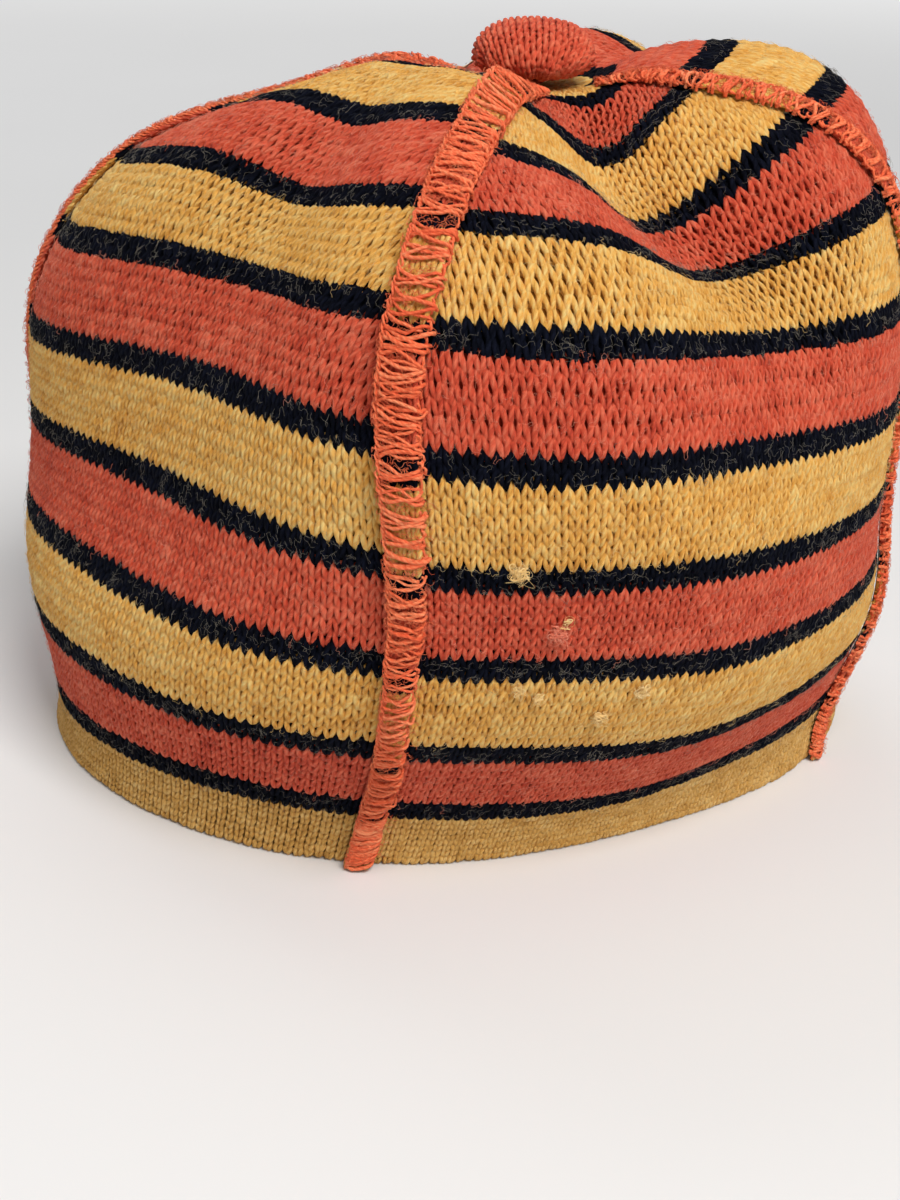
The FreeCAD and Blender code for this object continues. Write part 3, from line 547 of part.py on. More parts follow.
def slab(outer, inner, flat_first=False):
    """Closed solid between two grids of points of the same size. The side at
    the first course is a plane face if flat_first is set."""
    surfaces = []
    for grid in (outer, inner):
        surface = Part.BSplineSurface()
        surface.interpolate(grid)
        surfaces.append(surface)
    so, si = surfaces
    u0, u1, v0, v1 = so.bounds()
    x0, x1, y0, y1 = si.bounds()
    pairs = [(so.uIso(u0), si.uIso(x0)), (so.uIso(u1), si.uIso(x1)),
             (so.vIso(v0), si.vIso(y0)), (so.vIso(v1), si.vIso(y1))]
    faces = [so.toShape(), si.toShape()]
    for number, (c0, c1) in enumerate(pairs):
        e0, e1 = c0.toShape(), c1.toShape()
        if flat_first and number == 2:
            s0 = Part.makeLine(e0.valueAt(e0.FirstParameter), e1.valueAt(e1.FirstParameter))
            s1 = Part.makeLine(e0.valueAt(e0.LastParameter), e1.valueAt(e1.LastParameter))
            faces.append(Part.Face(Part.Wire(Part.__sortEdges__([e0, s0, e1, s1]))))
        else:
            faces.append(Part.makeRuledSurface(e0, e1))
    shell = Part.makeShell(faces)
    shell.sewShape()
    solid = Part.makeSolid(shell)
    if solid.Volume < 0:
        solid.reverse()
    return solid


kept = []


def keep(name, shape):
    part = doc.addObject("Part::Feature", name)
    part.Label = name
    part.Shape = shape
    kept.append(part)


# ---------------------------------------------------------------- the gores
BAND_COLUMNS = 22


def half_width(gore, course):
    """Half the gore's width along a course, from short steps."""
    points = [skin(gore, -1.0 + k / 6.0, course) for k in range(13)]
    return sum((b - a).Length for a, b in zip(points[:-1], points[1:])) / 2.0


def band(gore, first, last, steps):
    """One yarn's stripe of a gore as a closed solid."""
    pitch = max((skin(gore, 0, first + 1.0) - skin(gore, 0, first)).Length, 1.2)
    gap = size("stripe_gap") / pitch
    start = first if at_rim(first) else first + gap
    end = last - gap
    courses = [start + (end - start) * j / steps for j in range(steps + 1)]
    edges = [1.0 - size("seam_gap") / half_width(gore, course) for course in courses]

    def layer(depth):
        return [[fabric(gore, edge * (2.0 * i / BAND_COLUMNS - 1.0), course, depth)
                 for course, edge in zip(courses, edges)]
                for i in range(BAND_COLUMNS + 1)]

    return slab(layer(0.0), layer(size("fabric_thick")), flat_first=at_rim(first))


def crown_distance(point):
    return math.hypot(point.x - size("pivot_x"), point.y - size("pivot_y"))


def tip_course(gore):
    """Course at which the gore reaches the open middle of the crown."""
    course = TOP
    while course > TOP - 8 and crown_distance(skin(gore, 0, course)) < size("tip_radius"):
        course -= 0.02
    return course


def make_gore(gore):
    tip = tip_course(gore)
    keep("rib_hem_" + gore, Part.makeCompound([band(gore, RIM, 0.0, 5)]))
    starts = [REPEAT * k for k in range(REPEATS)]
    dark = [band(gore, start, start + DARK, 2) for start in starts]
    keep("navy_courses_" + gore, Part.makeCompound(dark))
    for offset, yarn in enumerate(("orange", "yellow")):
        bands = [band(gore, start + DARK, min(start + REPEAT, tip), 5)
                 for start in starts[offset::2]]
        keep(yarn + "_courses_" + gore, Part.makeCompound(bands))


for gore in GORES:
    make_gore(gore)

# ------------------------------------------------- seams worn on the outside
# A folded margin lies beside each seam and is wrapped by the looper threads;
# the needle thread runs along the fold. Side 1 is a gore's first seam and
# side -1 its second. The front and back margins lie on the gore after the
# seam, the other two on the gore before it. The right margin is narrower.
# Columns: seam, gore under the margin, side, share of the margin's width.
FOLDS = [("front", "front_right", 1, 1.0), ("right", "front_right", -1, 0.62),
         ("back", "back_left", 1, 1.0), ("left", "back_left", -1, 1.0)]
MARGIN_START = 0.35     # fold's distance from the seam
MARGIN_COLUMNS = 4
MARGIN_STEPS = 44
PATH_STEPS = 400
LOOPER_FIRST = 1.2      # first looper run, along the seam
LOOPER_START = 1.5      # a run's start from the seam
LOOPER_INSET = 0.2      # a run's end inside the margin's edge
LOOPER_LIFT = 0.22      # gap under a run's ends
LOOPER_CLEAR = 0.16     # least gap under a run's middle
NEEDLE_ACROSS = 0.74    # needle thread's distance from the seam
NEEDLE_LIFT = 0.12      # gap under the needle thread
NEEDLE_GAP = 0.1        # a stitch's end short of its mark


def beside(gore, across, course, lift, side):
    """Point on a gore, a distance from one of its seams, lifted off it."""
    a = -1.0 * side
    here = skin(gore, a, course)
    left = across
    step = 0.02 * side
    while left > 0 and a * side < 0.9:
        ahead = skin(gore, a + step, course)
        span = (ahead - here).Length
        if span >= left:
            a += step * left / span
            break
        left -= span
        a += step
        here = ahead
    return skin(gore, a, course) + normal(gore, a, course) * lift


def seam_distance(gore, course, side):
    return crown_distance(skin(gore, -1.0 * side, course))


def margin_last(gore, side):
    """Last course of a margin."""
    course = TOP - 0.5
    while seam_distance(gore, course, side) < size("margin_end"):
        course -= 0.05
    return course


def margin_top(gore, course, side):
    """Height of the margin's upper face; it thins towards the crown."""
    full = ease((seam_distance(gore, course, side) - 9.0) / 12.0)
    return size("margin_lift") + size("margin_thick") * (0.42 + 0.58 * full)


def margin_wide(share, course):
    """The margin widens between courses 12 and 38."""
    return size("margin_width") * share * (0.70 + 0.30 * ease((course - 12.0) / 26.0))


def margin_solid(gore, side, share, first, last):
    courses = [first + (last - first) * j / MARGIN_STEPS for j in range(MARGIN_STEPS + 1)]

    def layer(heights):
        return [[beside(gore, MARGIN_START + (margin_wide(share, course) - MARGIN_START)
                        * i / float(MARGIN_COLUMNS), course, height, side)
                 for course, height in zip(courses, heights)]
                for i in range(MARGIN_COLUMNS + 1)]

    tops = [margin_top(gore, course, side) for course in courses]
    return slab(layer(tops), layer([size("margin_lift")] * len(courses)))


def stitch_courses(gore, side, first, last, target):
    """Courses one stitch pitch apart along the fold, from a first distance."""
    courses = [first + (last - first) * j / float(PATH_STEPS) for j in range(PATH_STEPS + 1)]
    path = [beside(gore, MARGIN_START, course, 0.0, side) for course in courses]
    marks = []
    walked = 0.0
    for j in range(1, PATH_STEPS + 1):
        walked += (path[j] - path[j - 1]).Length
        if walked >= target:
            target += size("stitch_pitch")
            marks.append(courses[j])
    return marks


def looper_run(gore, side, share, course):
    """Straight run over the margin, raised where the margin bulges."""
    radius = size("looper_rad")
    top = margin_top(gore, course, side)
    wide = margin_wide(share, course)
    lift = top + LOOPER_LIFT + radius
    start = beside(gore, LOOPER_START, course, lift, side)
    end = beside(gore, wide - LOOPER_INSET, course, lift, side)
    up = (beside(gore, wide / 2, course, top + 1.0, side)
          - beside(gore, wide / 2, course, top, side))
    reach = wide - (LOOPER_START + LOOPER_INSET)
    low = min((start + (end - start) * (k / 6.0)
               - beside(gore, LOOPER_START + reach * k / 6.0, course, top, side)).dot(up)
              for k in range(1, 6))
    need = radius + LOOPER_CLEAR - low
    if need > 0:
        start = start + up * need
        end = end + up * need
    way = end - start
    return Part.makeCylinder(radius, way.Length, start, way)


def needle_stitches(gore, side, courses):
    """One short straight stitch between neighbouring marks."""
    radius = size("needle_rad")
    marks = [beside(gore, NEEDLE_ACROSS, course,
                    margin_top(gore, course, side) + NEEDLE_LIFT + radius, side)
             for course in courses]
    stitches = []
    for start, end in zip(marks[:-1], marks[1:]):
        way = end - start
        inset = Vector(way).normalize() * NEEDLE_GAP
        stitches.append(Part.makeCylinder(radius, way.Length - 2 * NEEDLE_GAP,
                                          start + inset, way))
    return stitches


def make_seam(seam, gore, side, share):
    first = RIM + 0.15
    last = margin_last(gore, side)
    keep("seam_margin_" + seam, margin_solid(gore, side, share, first, last))
    runs = [looper_run(gore, side, share, course)
            for course in stitch_courses(gore, side, first, last, LOOPER_FIRST)]
    keep("looper_threads_" + seam, Part.makeCompound(runs))
    marks = stitch_courses(gore, side, first, last, 0.0)
    keep("needle_thread_" + seam, Part.makeCompound(needle_stitches(gore, side, marks)))


for fold in FOLDS:
    make_seam(*fold)


# --------------------------------------------------------------- the button
def origin_plane(body, role):
    for feature in body.Origin.OriginFeatures:
        if feature.Role == role:
            return feature
    raise RuntimeError("no plane " + role)


def keep_at_pivot(item, offset=""):
    """Bind an item's place to the pivot, with an offset in Z, and keep it."""
    item.setExpression("Placement.Base.x", "Sizes.pivot_x")
    item.setExpression("Placement.Base.y", "Sizes.pivot_y")
    item.setExpression("Placement.Base.z", "Sizes.pivot_z" + offset)
    kept.append(item)


def new_object(kind, name, **formulas):
    """Labelled object with its properties bound to formulas."""
    item = doc.addObject(kind, name)
    item.Label = name
    for key, formula in formulas.items():
        item.setExpression(key, formula)
    return item


def new_sketch(body, name, role):
    sketch = body.newObject("Sketcher::SketchObject", name)
    sketch.AttachmentSupport = [(origin_plane(body, role), "")]
    sketch.MapMode = "FlatFace"
    return sketch


def drive(sketch, kind, args, value, name, formula):
    """Add a named constraint bound to a formula."""
    index = sketch.addConstraint(Sketcher.Constraint(kind, *(list(args) + [value])))
    sketch.renameConstraint(index, name)
    sketch.setExpression("Constraints." + name, formula)


def dome(centre_x, side, drop):
    """Radius of the arc that closes a round side onto the axis."""
    return (side * side - centre_x * centre_x - drop * drop) / (2.0 * (side - drop))


def arc(centre, radius, start, end):
    """Arc about a centre, anticlockwise from start to end."""
    angles = [math.atan2(z - centre[1], x - centre[0]) for x, z in (start, end)]
    circle = Part.Circle(Vector(centre[0], centre[1], 0), Vector(0, 0, 1), radius)
    return Part.ArcOfCircle(circle, *angles)


def cover_outline(rad, side, waist, top, bottom, hole):
    """Edge of the hole, and the bottom, side and top arcs of a profile."""
    centre_x = rad - side
    top_rad = dome(centre_x, side, top - waist)
    bottom_rad = dome(centre_x, side, waist - bottom)
    top_z = top - top_rad
    bottom_z = bottom + bottom_rad

    def join(z, radius):
        scale = radius / math.hypot(centre_x, waist - z)
        return (centre_x * scale, z + (waist - z) * scale)

    high = join(top_z, top_rad)
    low = join(bottom_z, bottom_rad)
    edge = (hole, bottom_z - math.sqrt(bottom_rad * bottom_rad - hole * hole))
    return edge, [arc((0, bottom_z), bottom_rad, edge, low),
                  arc((centre_x, waist), side, low, high),
                  arc((0, top_z), top_rad, high, (0, top))]


def make_cover():
    """Turned, hollow, soft disc with crowned faces and a gathered hole."""
    rad, tall = size("button_rad"), size("button_tall")
    side, waist = size("button_side"), size("button_waist")
    wall, hole = size("cover_thick"), size("cover_hole")
    base = size("base_round")
    edge, outer = cover_outline(rad, side, waist, tall, 0.0, hole)
    inner_edge, inner = cover_outline(rad - wall, side - wall, waist, tall - wall, wall, hole)

    cover = new_object("PartDesign::Body", "button_cover")
    sketch = new_sketch(cover, "button_cover_profile", "XZ_Plane")
    # 0-2 outer bottom, side, top; 3 wall on the axis; 4-6 inner top, side,
    # bottom; 7 wall at the hole
    sketch.addGeometry(
        outer + [Part.LineSegment(Vector(0, tall, 0), Vector(0, tall - wall, 0))]
        + inner[::-1] + [Part.LineSegment(Vector(*inner_edge, 0), Vector(*edge, 0))], False)
    for ends in [(2, 2, 3, 1), (3, 2, 4, 2), (6, 1, 7, 1), (7, 2, 0, 1)]:
        sketch.addConstraint(Sketcher.Constraint("Coincident", *ends))
    for ends in [(0, 2, 1, 1), (1, 2, 2, 1), (4, 1, 5, 2), (5, 1, 6, 2)]:
        sketch.addConstraint(Sketcher.Constraint("Tangent", *ends))
    for point in [(2, 2), (3, 2), (0, 3), (2, 3), (4, 3), (6, 3)]:
        sketch.addConstraint(Sketcher.Constraint("PointOnObject", *point, -2))
    sketch.addConstraint(Sketcher.Constraint("Vertical", 7))

    # kind, geometry, value, name, formula
    for row in [
        ("Radius", (1,), side, "side_round", "Sizes.button_side"),
        ("Radius", (5,), side - wall, "side_inner", "Sizes.button_side - Sizes.cover_thick"),
        ("Radius", (0,), base, "base_round", "Sizes.base_round"),
        ("Radius", (6,), base - wall, "base_round_in", "Sizes.base_round - Sizes.cover_thick"),
        ("DistanceX", (-1, 1, 1, 3), rad - side, "side_centre",
         "Sizes.button_rad - Sizes.button_side"),
        ("DistanceX", (-1, 1, 5, 3), rad - side, "inner_centre",
         "Sizes.button_rad - Sizes.button_side"),
        ("DistanceY", (-1, 1, 1, 3), waist, "waist_height", "Sizes.button_waist"),
        ("DistanceY", (-1, 1, 5, 3), waist, "waist_inner", "Sizes.button_waist"),
        ("DistanceY", (-1, 1, 2, 2), tall, "top_height", "Sizes.button_tall"),
        ("DistanceY", (-1, 1, 3, 2), tall - wall, "top_inner",
         "Sizes.button_tall - Sizes.cover_thick"),
        ("DistanceX", (-1, 1, 7, 1), hole, "hole_radius", "Sizes.cover_hole"),
    ]:
        drive(sketch, *row)
    doc.recompute()
    turned = cover.newObject("PartDesign::Revolution", "button_cover_turned")
    turned.Profile = sketch
    turned.ReferenceAxis = (sketch, ["V_Axis"])
    turned.Angle = 360.0
    cover.Tip = turned
    keep_at_pivot(cover, " + Sizes.button_lift")


def make_stuffing():
    """Flattened pad of filling inside the cover."""
    pad = new_object("Part::Ellipsoid", "button_stuffing", Radius1="Sizes.stuff_half",
                     Radius2="Sizes.stuff_rad", Radius3="Sizes.stuff_rad")
    pad.Angle1, pad.Angle2, pad.Angle3 = -90.0, 90.0, 360.0
    keep_at_pivot(pad, " + Sizes.button_lift + Sizes.stuff_mid")


def make_ring(name, ring, thread, offset=""):
    """Ring of thread about the shank's axis."""
    keep_at_pivot(new_object("Part::Torus", name, Radius1=ring, Radius2=thread), offset)


def make_strands():
    """Shank strands from near the anchor stitches up to the button."""
    strands = new_object("PartDesign::Body", "shank_strands")
    sketch = new_sketch(strands, "shank_strands_circle", "XY_Plane")
    radius = size("strand_rad")
    sketch.addGeometry(Part.Circle(Vector(0, 0, 0), Vector(0, 0, 1), radius), False)
    sketch.addConstraint(Sketcher.Constraint("Coincident", 0, 3, -1, 1))
    drive(sketch, "Radius", (0,), radius, "strand_radius", "Sizes.strand_rad")
    doc.recompute()
    rod = strands.newObject("PartDesign::Pad", "shank_strands_pad")
    rod.Profile = sketch
    rod.setExpression("Length", "Sizes.strand_up + Sizes.strand_down")
    strands.Tip = rod
    keep_at_pivot(strands, " - Sizes.strand_down")


def make_anchor():
    """Two crossed bars of thread inside the crown."""
    bars = []
    for number, angle in enumerate((45.0, 135.0)):
        bar = new_object("Part::Cylinder", "anchor_bar_%d" % number,
                         Radius="Sizes.anchor_rad", Height="2 * Sizes.anchor_half")
        turn = Rotation(Vector(0, 0, 1), angle).multiply(Rotation(Vector(0, 1, 0), 90.0))
        end = turn.multVec(Vector(0, 0, -size("anchor_half")))
        bar.Placement = Placement(Vector(end.x, end.y, 0.0), turn)
        bars.append(bar)
    cross = new_object("Part::MultiFuse", "anchor_stitches")
    cross.Shapes = bars
    keep_at_pivot(cross, " - Sizes.anchor_drop")


make_cover()
make_stuffing()
make_ring("button_gather_thread", "Sizes.gather_ring", "Sizes.gather_rad",
          " + Sizes.gather_lift")
make_strands()
make_ring("shank_wrap", "Sizes.wrap_ring", "Sizes.wrap_rad")
make_anchor()
doc.recompute()

# ------------------------------------------------------------ check and write
for item in doc.Objects:
    bad = [word for word in item.State if word in ("Invalid", "Error")]
    if bad:
        raise RuntimeError("%s is %s" % (item.Name, bad))
os.makedirs("parts", exist_ok=True)
for item in kept:
    shape = item.Shape
    if shape.isNull() or not shape.isValid() or not shape.Solids:
        raise RuntimeError("bad shape: " + item.Label)
    if any(solid.Volume <= 0 for solid in shape.Solids):
        raise RuntimeError("empty solid: " + item.Label)
for item in kept:
    item.Shape.exportStep("parts/%s.step" % item.Label)
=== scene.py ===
"""Knitted wool hat: four striped gores, overlocked seam margins and a knitted button.

The rim lies near z = 0 and the gores meet at an off-centre apex, about 140 mm up (+Z).
The front faces -Y and the hat's "right" is +X. Lengths are millimetres unless noted;
heights on the fabric are counted in knitted courses above the ribbed rim.
"""
import math
from collections import namedtuple

import bpy
import numpy as np
from mathutils import Matrix, Vector


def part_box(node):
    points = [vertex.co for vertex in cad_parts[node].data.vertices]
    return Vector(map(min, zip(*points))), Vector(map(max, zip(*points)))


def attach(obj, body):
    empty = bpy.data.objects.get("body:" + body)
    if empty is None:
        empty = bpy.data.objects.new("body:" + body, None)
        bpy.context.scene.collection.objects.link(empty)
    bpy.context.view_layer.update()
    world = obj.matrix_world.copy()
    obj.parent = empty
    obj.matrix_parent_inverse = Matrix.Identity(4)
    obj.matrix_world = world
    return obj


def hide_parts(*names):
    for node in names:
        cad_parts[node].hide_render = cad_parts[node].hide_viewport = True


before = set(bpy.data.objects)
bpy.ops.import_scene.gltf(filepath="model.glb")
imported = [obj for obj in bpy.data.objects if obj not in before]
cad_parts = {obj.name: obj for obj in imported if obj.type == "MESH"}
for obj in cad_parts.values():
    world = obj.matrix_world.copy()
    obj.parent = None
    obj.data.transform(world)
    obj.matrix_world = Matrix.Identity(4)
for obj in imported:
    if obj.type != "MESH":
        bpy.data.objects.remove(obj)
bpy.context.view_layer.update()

MM = 0.001                          # metres to a millimetre

# ---------------------------------------------------------------- fabric net
# Each gore runs from one seam to the next: front, right, back, left, front.
GORES = ["front_right", "back_right", "back_left", "front_left"]
SPANS_ACROSS, SPANS_UP = 12, 28     # spline spans of a gore's net
RIM, TOP = -4.4049, 80.0            # first and last course
APEX = (18.280, -9.113)             # x, y where the gores meet
POLE = (1828, -911, 13897)          # last net point but one of every strip, 0.01 mm
# Bicubic B-spline net of each gore's outer face, x, y, z in 0.01 mm: 15 strips a gore
# from seam to seam, five lines a strip from rim to top, the pole left out.
NET_TABLE = [
# front_right
-1400,-6877,-853,-1201,-6904,0,-1001,-6932,853,-817,-7202,1644,-635,-7473,2242,-474,-7815,2886,
-334,-8136,3608,-209,-8332,4394,-107,-8386,5164,-40,-8395,5858,-12,-8398,6563,-24,-8388,7275,
-83,-8349,8040,-162,-8251,8856,-222,-8100,9675,-215,-7908,10450,-122,-7665,11165,21,-7344,11824,
179,-6921,12410,329,-6437,12932,497,-5830,13411,687,-5130,13871,895,-4342,14269,1070,-3551,14732,
1259,-2851,14405,1332,-2550,14169,1422,-2224,13988,1559,-1710,13899,1721,-1254,13900,1935,-568,13893,
-453,-6758,-816,-256,-6770,0,-59,-6781,816,152,-7042,1605,364,-7314,2215,566,-7668,2873,
747,-8007,3617,895,-8223,4418,1002,-8304,5188,1069,-8350,5870,1096,-8394,6558,1082,-8426,7254,
1021,-8432,7998,931,-8372,8796,855,-8259,9606,834,-8094,10386,885,-7857,11111,966,-7509,11785,
1042,-7044,12373,1091,-6512,12864,1144,-5891,13288,1215,-5189,13679,1312,-4427,14028,1388,-3652,14419,
1501,-2951,14317,1543,-2648,14146,1596,-2329,14011,1680,-1796,13907,1775,-1287,13902,1881,-536,13891,
494,-6640,-779,688,-6635,0,882,-6630,779,1121,-6881,1566,1362,-7154,2188,1606,-7520,2860,
1827,-7878,3627,1999,-8114,4442,2111,-8222,5211,2177,-8306,5881,2204,-8389,6554,2189,-8463,7232,
2125,-8515,7956,2025,-8494,8736,1931,-8419,9538,1882,-8279,10321,1892,-8049,11057,1910,-7673,11746,
1904,-7167,12336,1852,-6587,12796,1791,-5952,13165,1743,-5249,13488,1730,-4512,13786,1706,-3752,14106,
1744,-3051,14228,1754,-2746,14123,1771,-2433,14034,1802,-1881,13915,1828,-1319,13905,1828,-504,13889,
1404,-6375,-729,1586,-6359,0,1768,-6344,729,2021,-6572,1499,2284,-6841,2131,2564,-7204,2809,
2827,-7573,3592,3027,-7821,4424,3151,-7945,5203,3231,-8048,5872,3277,-8155,6541,3288,-8255,7215,
3259,-8335,7932,3191,-8341,8704,3121,-8294,9502,3074,-8177,10291,3056,-7959,11037,3008,-7577,11739,
2905,-7055,12332,2732,-6463,12770,2540,-5837,13093,2355,-5155,13355,2213,-4455,13601,2073,-3740,13837,
2018,-3063,14060,1995,-2771,14047,1975,-2469,14026,1941,-1937,13923,1888,-1331,13905,1768,-492,13888,
2260,-6020,-680,2429,-6004,0,2598,-5987,680,2858,-6189,1417,3140,-6448,2051,3451,-6797,2722,
3755,-7167,3512,3985,-7428,4360,4125,-7561,5158,4220,-7668,5835,4288,-7778,6510,4329,-7881,7189,
4339,-7962,7905,4307,-7965,8673,4263,-7913,9466,4220,-7791,10248,4175,-7572,10987,4062,-7194,11677,
3866,-6695,12254,3585,-6138,12669,3275,-5560,12959,2965,-4936,13182,2702,-4296,13393,2454,-3648,13578,
2301,-3012,13870,2245,-2741,13944,2187,-2458,13991,2093,-1955,13935,1953,-1330,13904,1703,-493,13890,
3050,-5593,-636,3210,-5582,0,3370,-5570,636,3632,-5747,1325,3929,-5990,1948,4263,-6311,2598,
4604,-6672,3375,4870,-6940,4233,5028,-7079,5061,5134,-7173,5759,5219,-7268,6449,5280,-7349,7143,
5316,-7402,7868,5299,-7370,8632,5254,-7276,9409,5188,-7113,10160,5096,-6869,10859,4916,-6504,11488,
4648,-6059,12001,4296,-5584,12372,3911,-5100,12642,3513,-4573,12856,3160,-4027,13074,2825,-3471,13247,
2584,-2897,13639,2495,-2653,13803,2402,-2396,13927,2252,-1940,13947,2021,-1321,13901,1635,-502,13892,
3788,-5122,-609,3944,-5117,0,4100,-5112,609,4364,-5266,1253,4674,-5488,1861,5023,-5776,2488,
5393,-6109,3240,5692,-6374,4097,5869,-6512,4949,5976,-6587,5673,6067,-6656,6377,6133,-6702,7088,
6169,-6711,7821,6136,-6630,8580,6052,-6479,9333,5922,-6259,10035,5748,-5978,10670,5489,-5622,11207,
5166,-5237,11612,4784,-4863,11903,4378,-4502,12144,3945,-4099,12364,3548,-3674,12620,3165,-3228,12813,
2853,-2738,13365,2737,-2524,13623,2612,-2299,13834,2414,-1896,13959,2093,-1304,13899,1563,-518,13895,
4490,-4617,-612,4643,-4612,0,4796,-4608,612,5069,-4746,1234,5392,-4943,1826,5755,-5197,2439,
6142,-5492,3166,6463,-5735,4010,6649,-5862,4864,6751,-5917,5603,6836,-5961,6314,6892,-5976,7034,
6913,-5950,7770,6849,-5838,8521,6709,-5652,9250,6502,-5407,9910,6239,-5114,10487,5898,-4780,10955,
5526,-4454,11266,5132,-4170,11477,4741,-3922,11680,4309,-3637,11914,3902,-3325,12213,3490,-2979,12453,
3119,-2571,13098,2975,-2383,13442,2821,-2189,13727,2581,-1831,13964,2168,-1279,13897,1488,-544,13897,
5170,-4079,-651,5317,-4065,0,5463,-4051,651,5757,-4177,1285,6094,-4347,1869,6471,-4566,2480,
6868,-4816,3198,7187,-5017,4020,7363,-5121,4849,7451,-5162,5577,7523,-5191,6281,7569,-5195,6995,
7580,-5162,7721,7506,-5062,8457,7343,-4898,9170,7101,-4687,9818,6791,-4439,10380,6407,-4165,10849,
6002,-3905,11151,5595,-3692,11355,5208,-3521,11560,4765,-3311,11822,4329,-3063,12136,3865,-2774,12442,
3409,-2422,12922,3235,-2251,13328,3048,-2079,13638,2750,-1745,13965,2242,-1242,13897,1414,-581,13897,
5855,-3502,-708,5989,-3473,0,6124,-3444,708,6439,-3551,1373,6782,-3685,1955,7167,-3863,2570,
7559,-4062,3287,7852,-4215,4085,8001,-4294,4876,8068,-4325,5580,8126,-4350,6271,8168,-4359,6968,
8186,-4344,7676,8140,-4286,8393,8010,-4185,9099,7808,-4053,9764,7527,-3895,10365,7172,-3718,10901,
6777,-3543,11302,6358,-3394,11609,5937,-3268,11894,5432,-3094,12207,4901,-2865,12519,4341,-2588,12834,
3744,-2271,13078,3527,-2110,13390,3294,-1952,13654,2912,-1630,13968,2310,-1191,13899,1346,-632,13894,
6568,-2867,-763,6678,-2819,0,6788,-2771,763,7115,-2847,1471,7447,-2936,2054,7824,-3067,2680,
8188,-3211,3395,8436,-3320,4165,8543,-3377,4915,8583,-3406,5595,8624,-3434,6269,8663,-3455,6947,
8696,-3463,7635,8691,-3448,8335,8621,-3409,9038,8495,-3358,9728,8292,-3291,10388,8017,-3214,11013,
7675,-3128,11560,7255,-3045,12028,6785,-2960,12439,6188,-2817,12811,5527,-2603,13124,4831,-2341,13361,
4103,-2062,13559,3820,-1917,13656,3535,-1775,13825,3048,-1477,13973,2365,-1125,13903,1291,-698,13890,
7292,-2131,-801,7367,-2065,0,7441,-1998,801,7756,-2035,1551,8053,-2078,2136,8399,-2160,2775,
8710,-2253,3485,8899,-2327,4227,8955,-2374,4943,8960,-2408,5603,8978,-2444,6263,9005,-2478,6925,
9040,-2504,7599,9057,-2519,8288,9027,-2522,8989,8958,-2524,9697,8815,-2522,10400,8612,-2517,11090,
8330,-2502,11744,7930,-2484,12338,7433,-2453,12848,6774,-2361,13267,6018,-2193,13578,5212,-1985,13769,
4405,-1762,13884,4048,-1646,13938,3717,-1530,14007,3130,-1287,13984,2400,-1048,13906,1256,-775,13887,
7991,-1264,-818,8018,-1185,0,8044,-1106,818,8324,-1101,1608,8566,-1105,2198,8859,-1143,2850,
9102,-1197,3555,9220,-1252,4274,9220,-1300,4961,9183,-1347,5605,9171,-1397,6252,9178,-1447,6902,
9200,-1491,7568,9217,-1530,8253,9202,-1565,8956,9153,-1603,9674,9036,-1643,10400,8873,-1687,11124,
8637,-1724,11829,8273,-1764,12485,7788,-1798,13046,7113,-1769,13496,6312,-1669,13808,5451,-1542,13982,
4590,-1389,14047,4181,-1311,14080,3814,-1227,14106,3132,-1075,13988,2407,-962,13906,1248,-860,13888,
8531,-192,-802,8505,-117,0,8479,-42,802,8691,-13,1615,8866,2,2211,9088,-14,2875,
9257,-55,3584,9305,-113,4295,9246,-182,4967,9167,-255,5601,9123,-330,6241,9110,-403,6883,
9122,-472,7547,9144,-536,8235,9149,-599,8946,9125,-668,9681,9035,-744,10432,8916,-820,11189,
8726,-895,11941,8398,-982,12646,7930,-1073,13241,7242,-1103,13708,6402,-1080,14011,5508,-1039,14157,
4591,-971,14168,4152,-946,14186,3745,-911,14150,3062,-863,13970,2382,-870,13898,1274,-953,13895,
9071,879,-786,8992,950,0,8913,1022,786,9059,1076,1622,9165,1108,2225,9318,1115,2900,
9412,1088,3613,9389,1026,4315,9273,937,4973,9150,837,5598,9075,737,6230,9043,641,6864,
9045,548,7526,9071,458,8217,9097,366,8937,9097,266,9688,9035,156,10464,8959,46,11254,
8816,-66,12052,8524,-200,12807,8072,-348,13437,7371,-437,13920,6492,-492,14214,5564,-537,14332,
4592,-553,14288,4123,-580,14291,3677,-596,14194,2993,-651,13952,2357,-778,13891,1299,-1045,13903,
# back_right
8131,-1256,-878,8153,-1171,-54,8174,-1086,770,8455,-1076,1588,8693,-1077,2190,8982,-1116,2857,
9218,-1173,3564,9331,-1234,4274,9329,-1292,4946,9295,-1350,5577,9286,-1414,6216,9296,-1478,6859,
9318,-1538,7531,9333,-1593,8232,9310,-1644,8960,9249,-1699,9707,9110,-1755,10460,8931,-1809,11212,
8654,-1860,11934,8228,-1911,12574,7655,-1950,13077,6863,-1885,13441,5972,-1755,13711,5062,-1590,13802,
4235,-1421,13869,3590,-1253,13831,2922,-1084,13905,2533,-1025,13892,2266,-950,13900,1390,-873,13893,
8531,-192,-802,8505,-117,0,8479,-42,802,8691,-13,1615,8866,2,2211,9088,-14,2875,
9257,-55,3584,9305,-113,4295,9246,-182,4967,9167,-255,5601,9123,-330,6241,9110,-403,6883,
9122,-472,7547,9144,-536,8235,9149,-599,8946,9125,-668,9681,9035,-744,10432,8916,-820,11189,
8727,-895,11941,8398,-982,12646,7930,-1073,13241,7241,-1103,13708,6405,-1081,14011,5498,-1038,14157,
4628,-976,14169,3860,-918,14185,3146,-866,13995,2667,-864,13916,2281,-877,13903,1375,-945,13890,
8930,872,-725,8857,937,54,8784,1002,834,8928,1050,1643,9038,1081,2233,9194,1087,2893,
9296,1064,3604,9278,1008,4315,9163,929,4988,9038,841,5625,8959,754,6265,8924,672,6907,
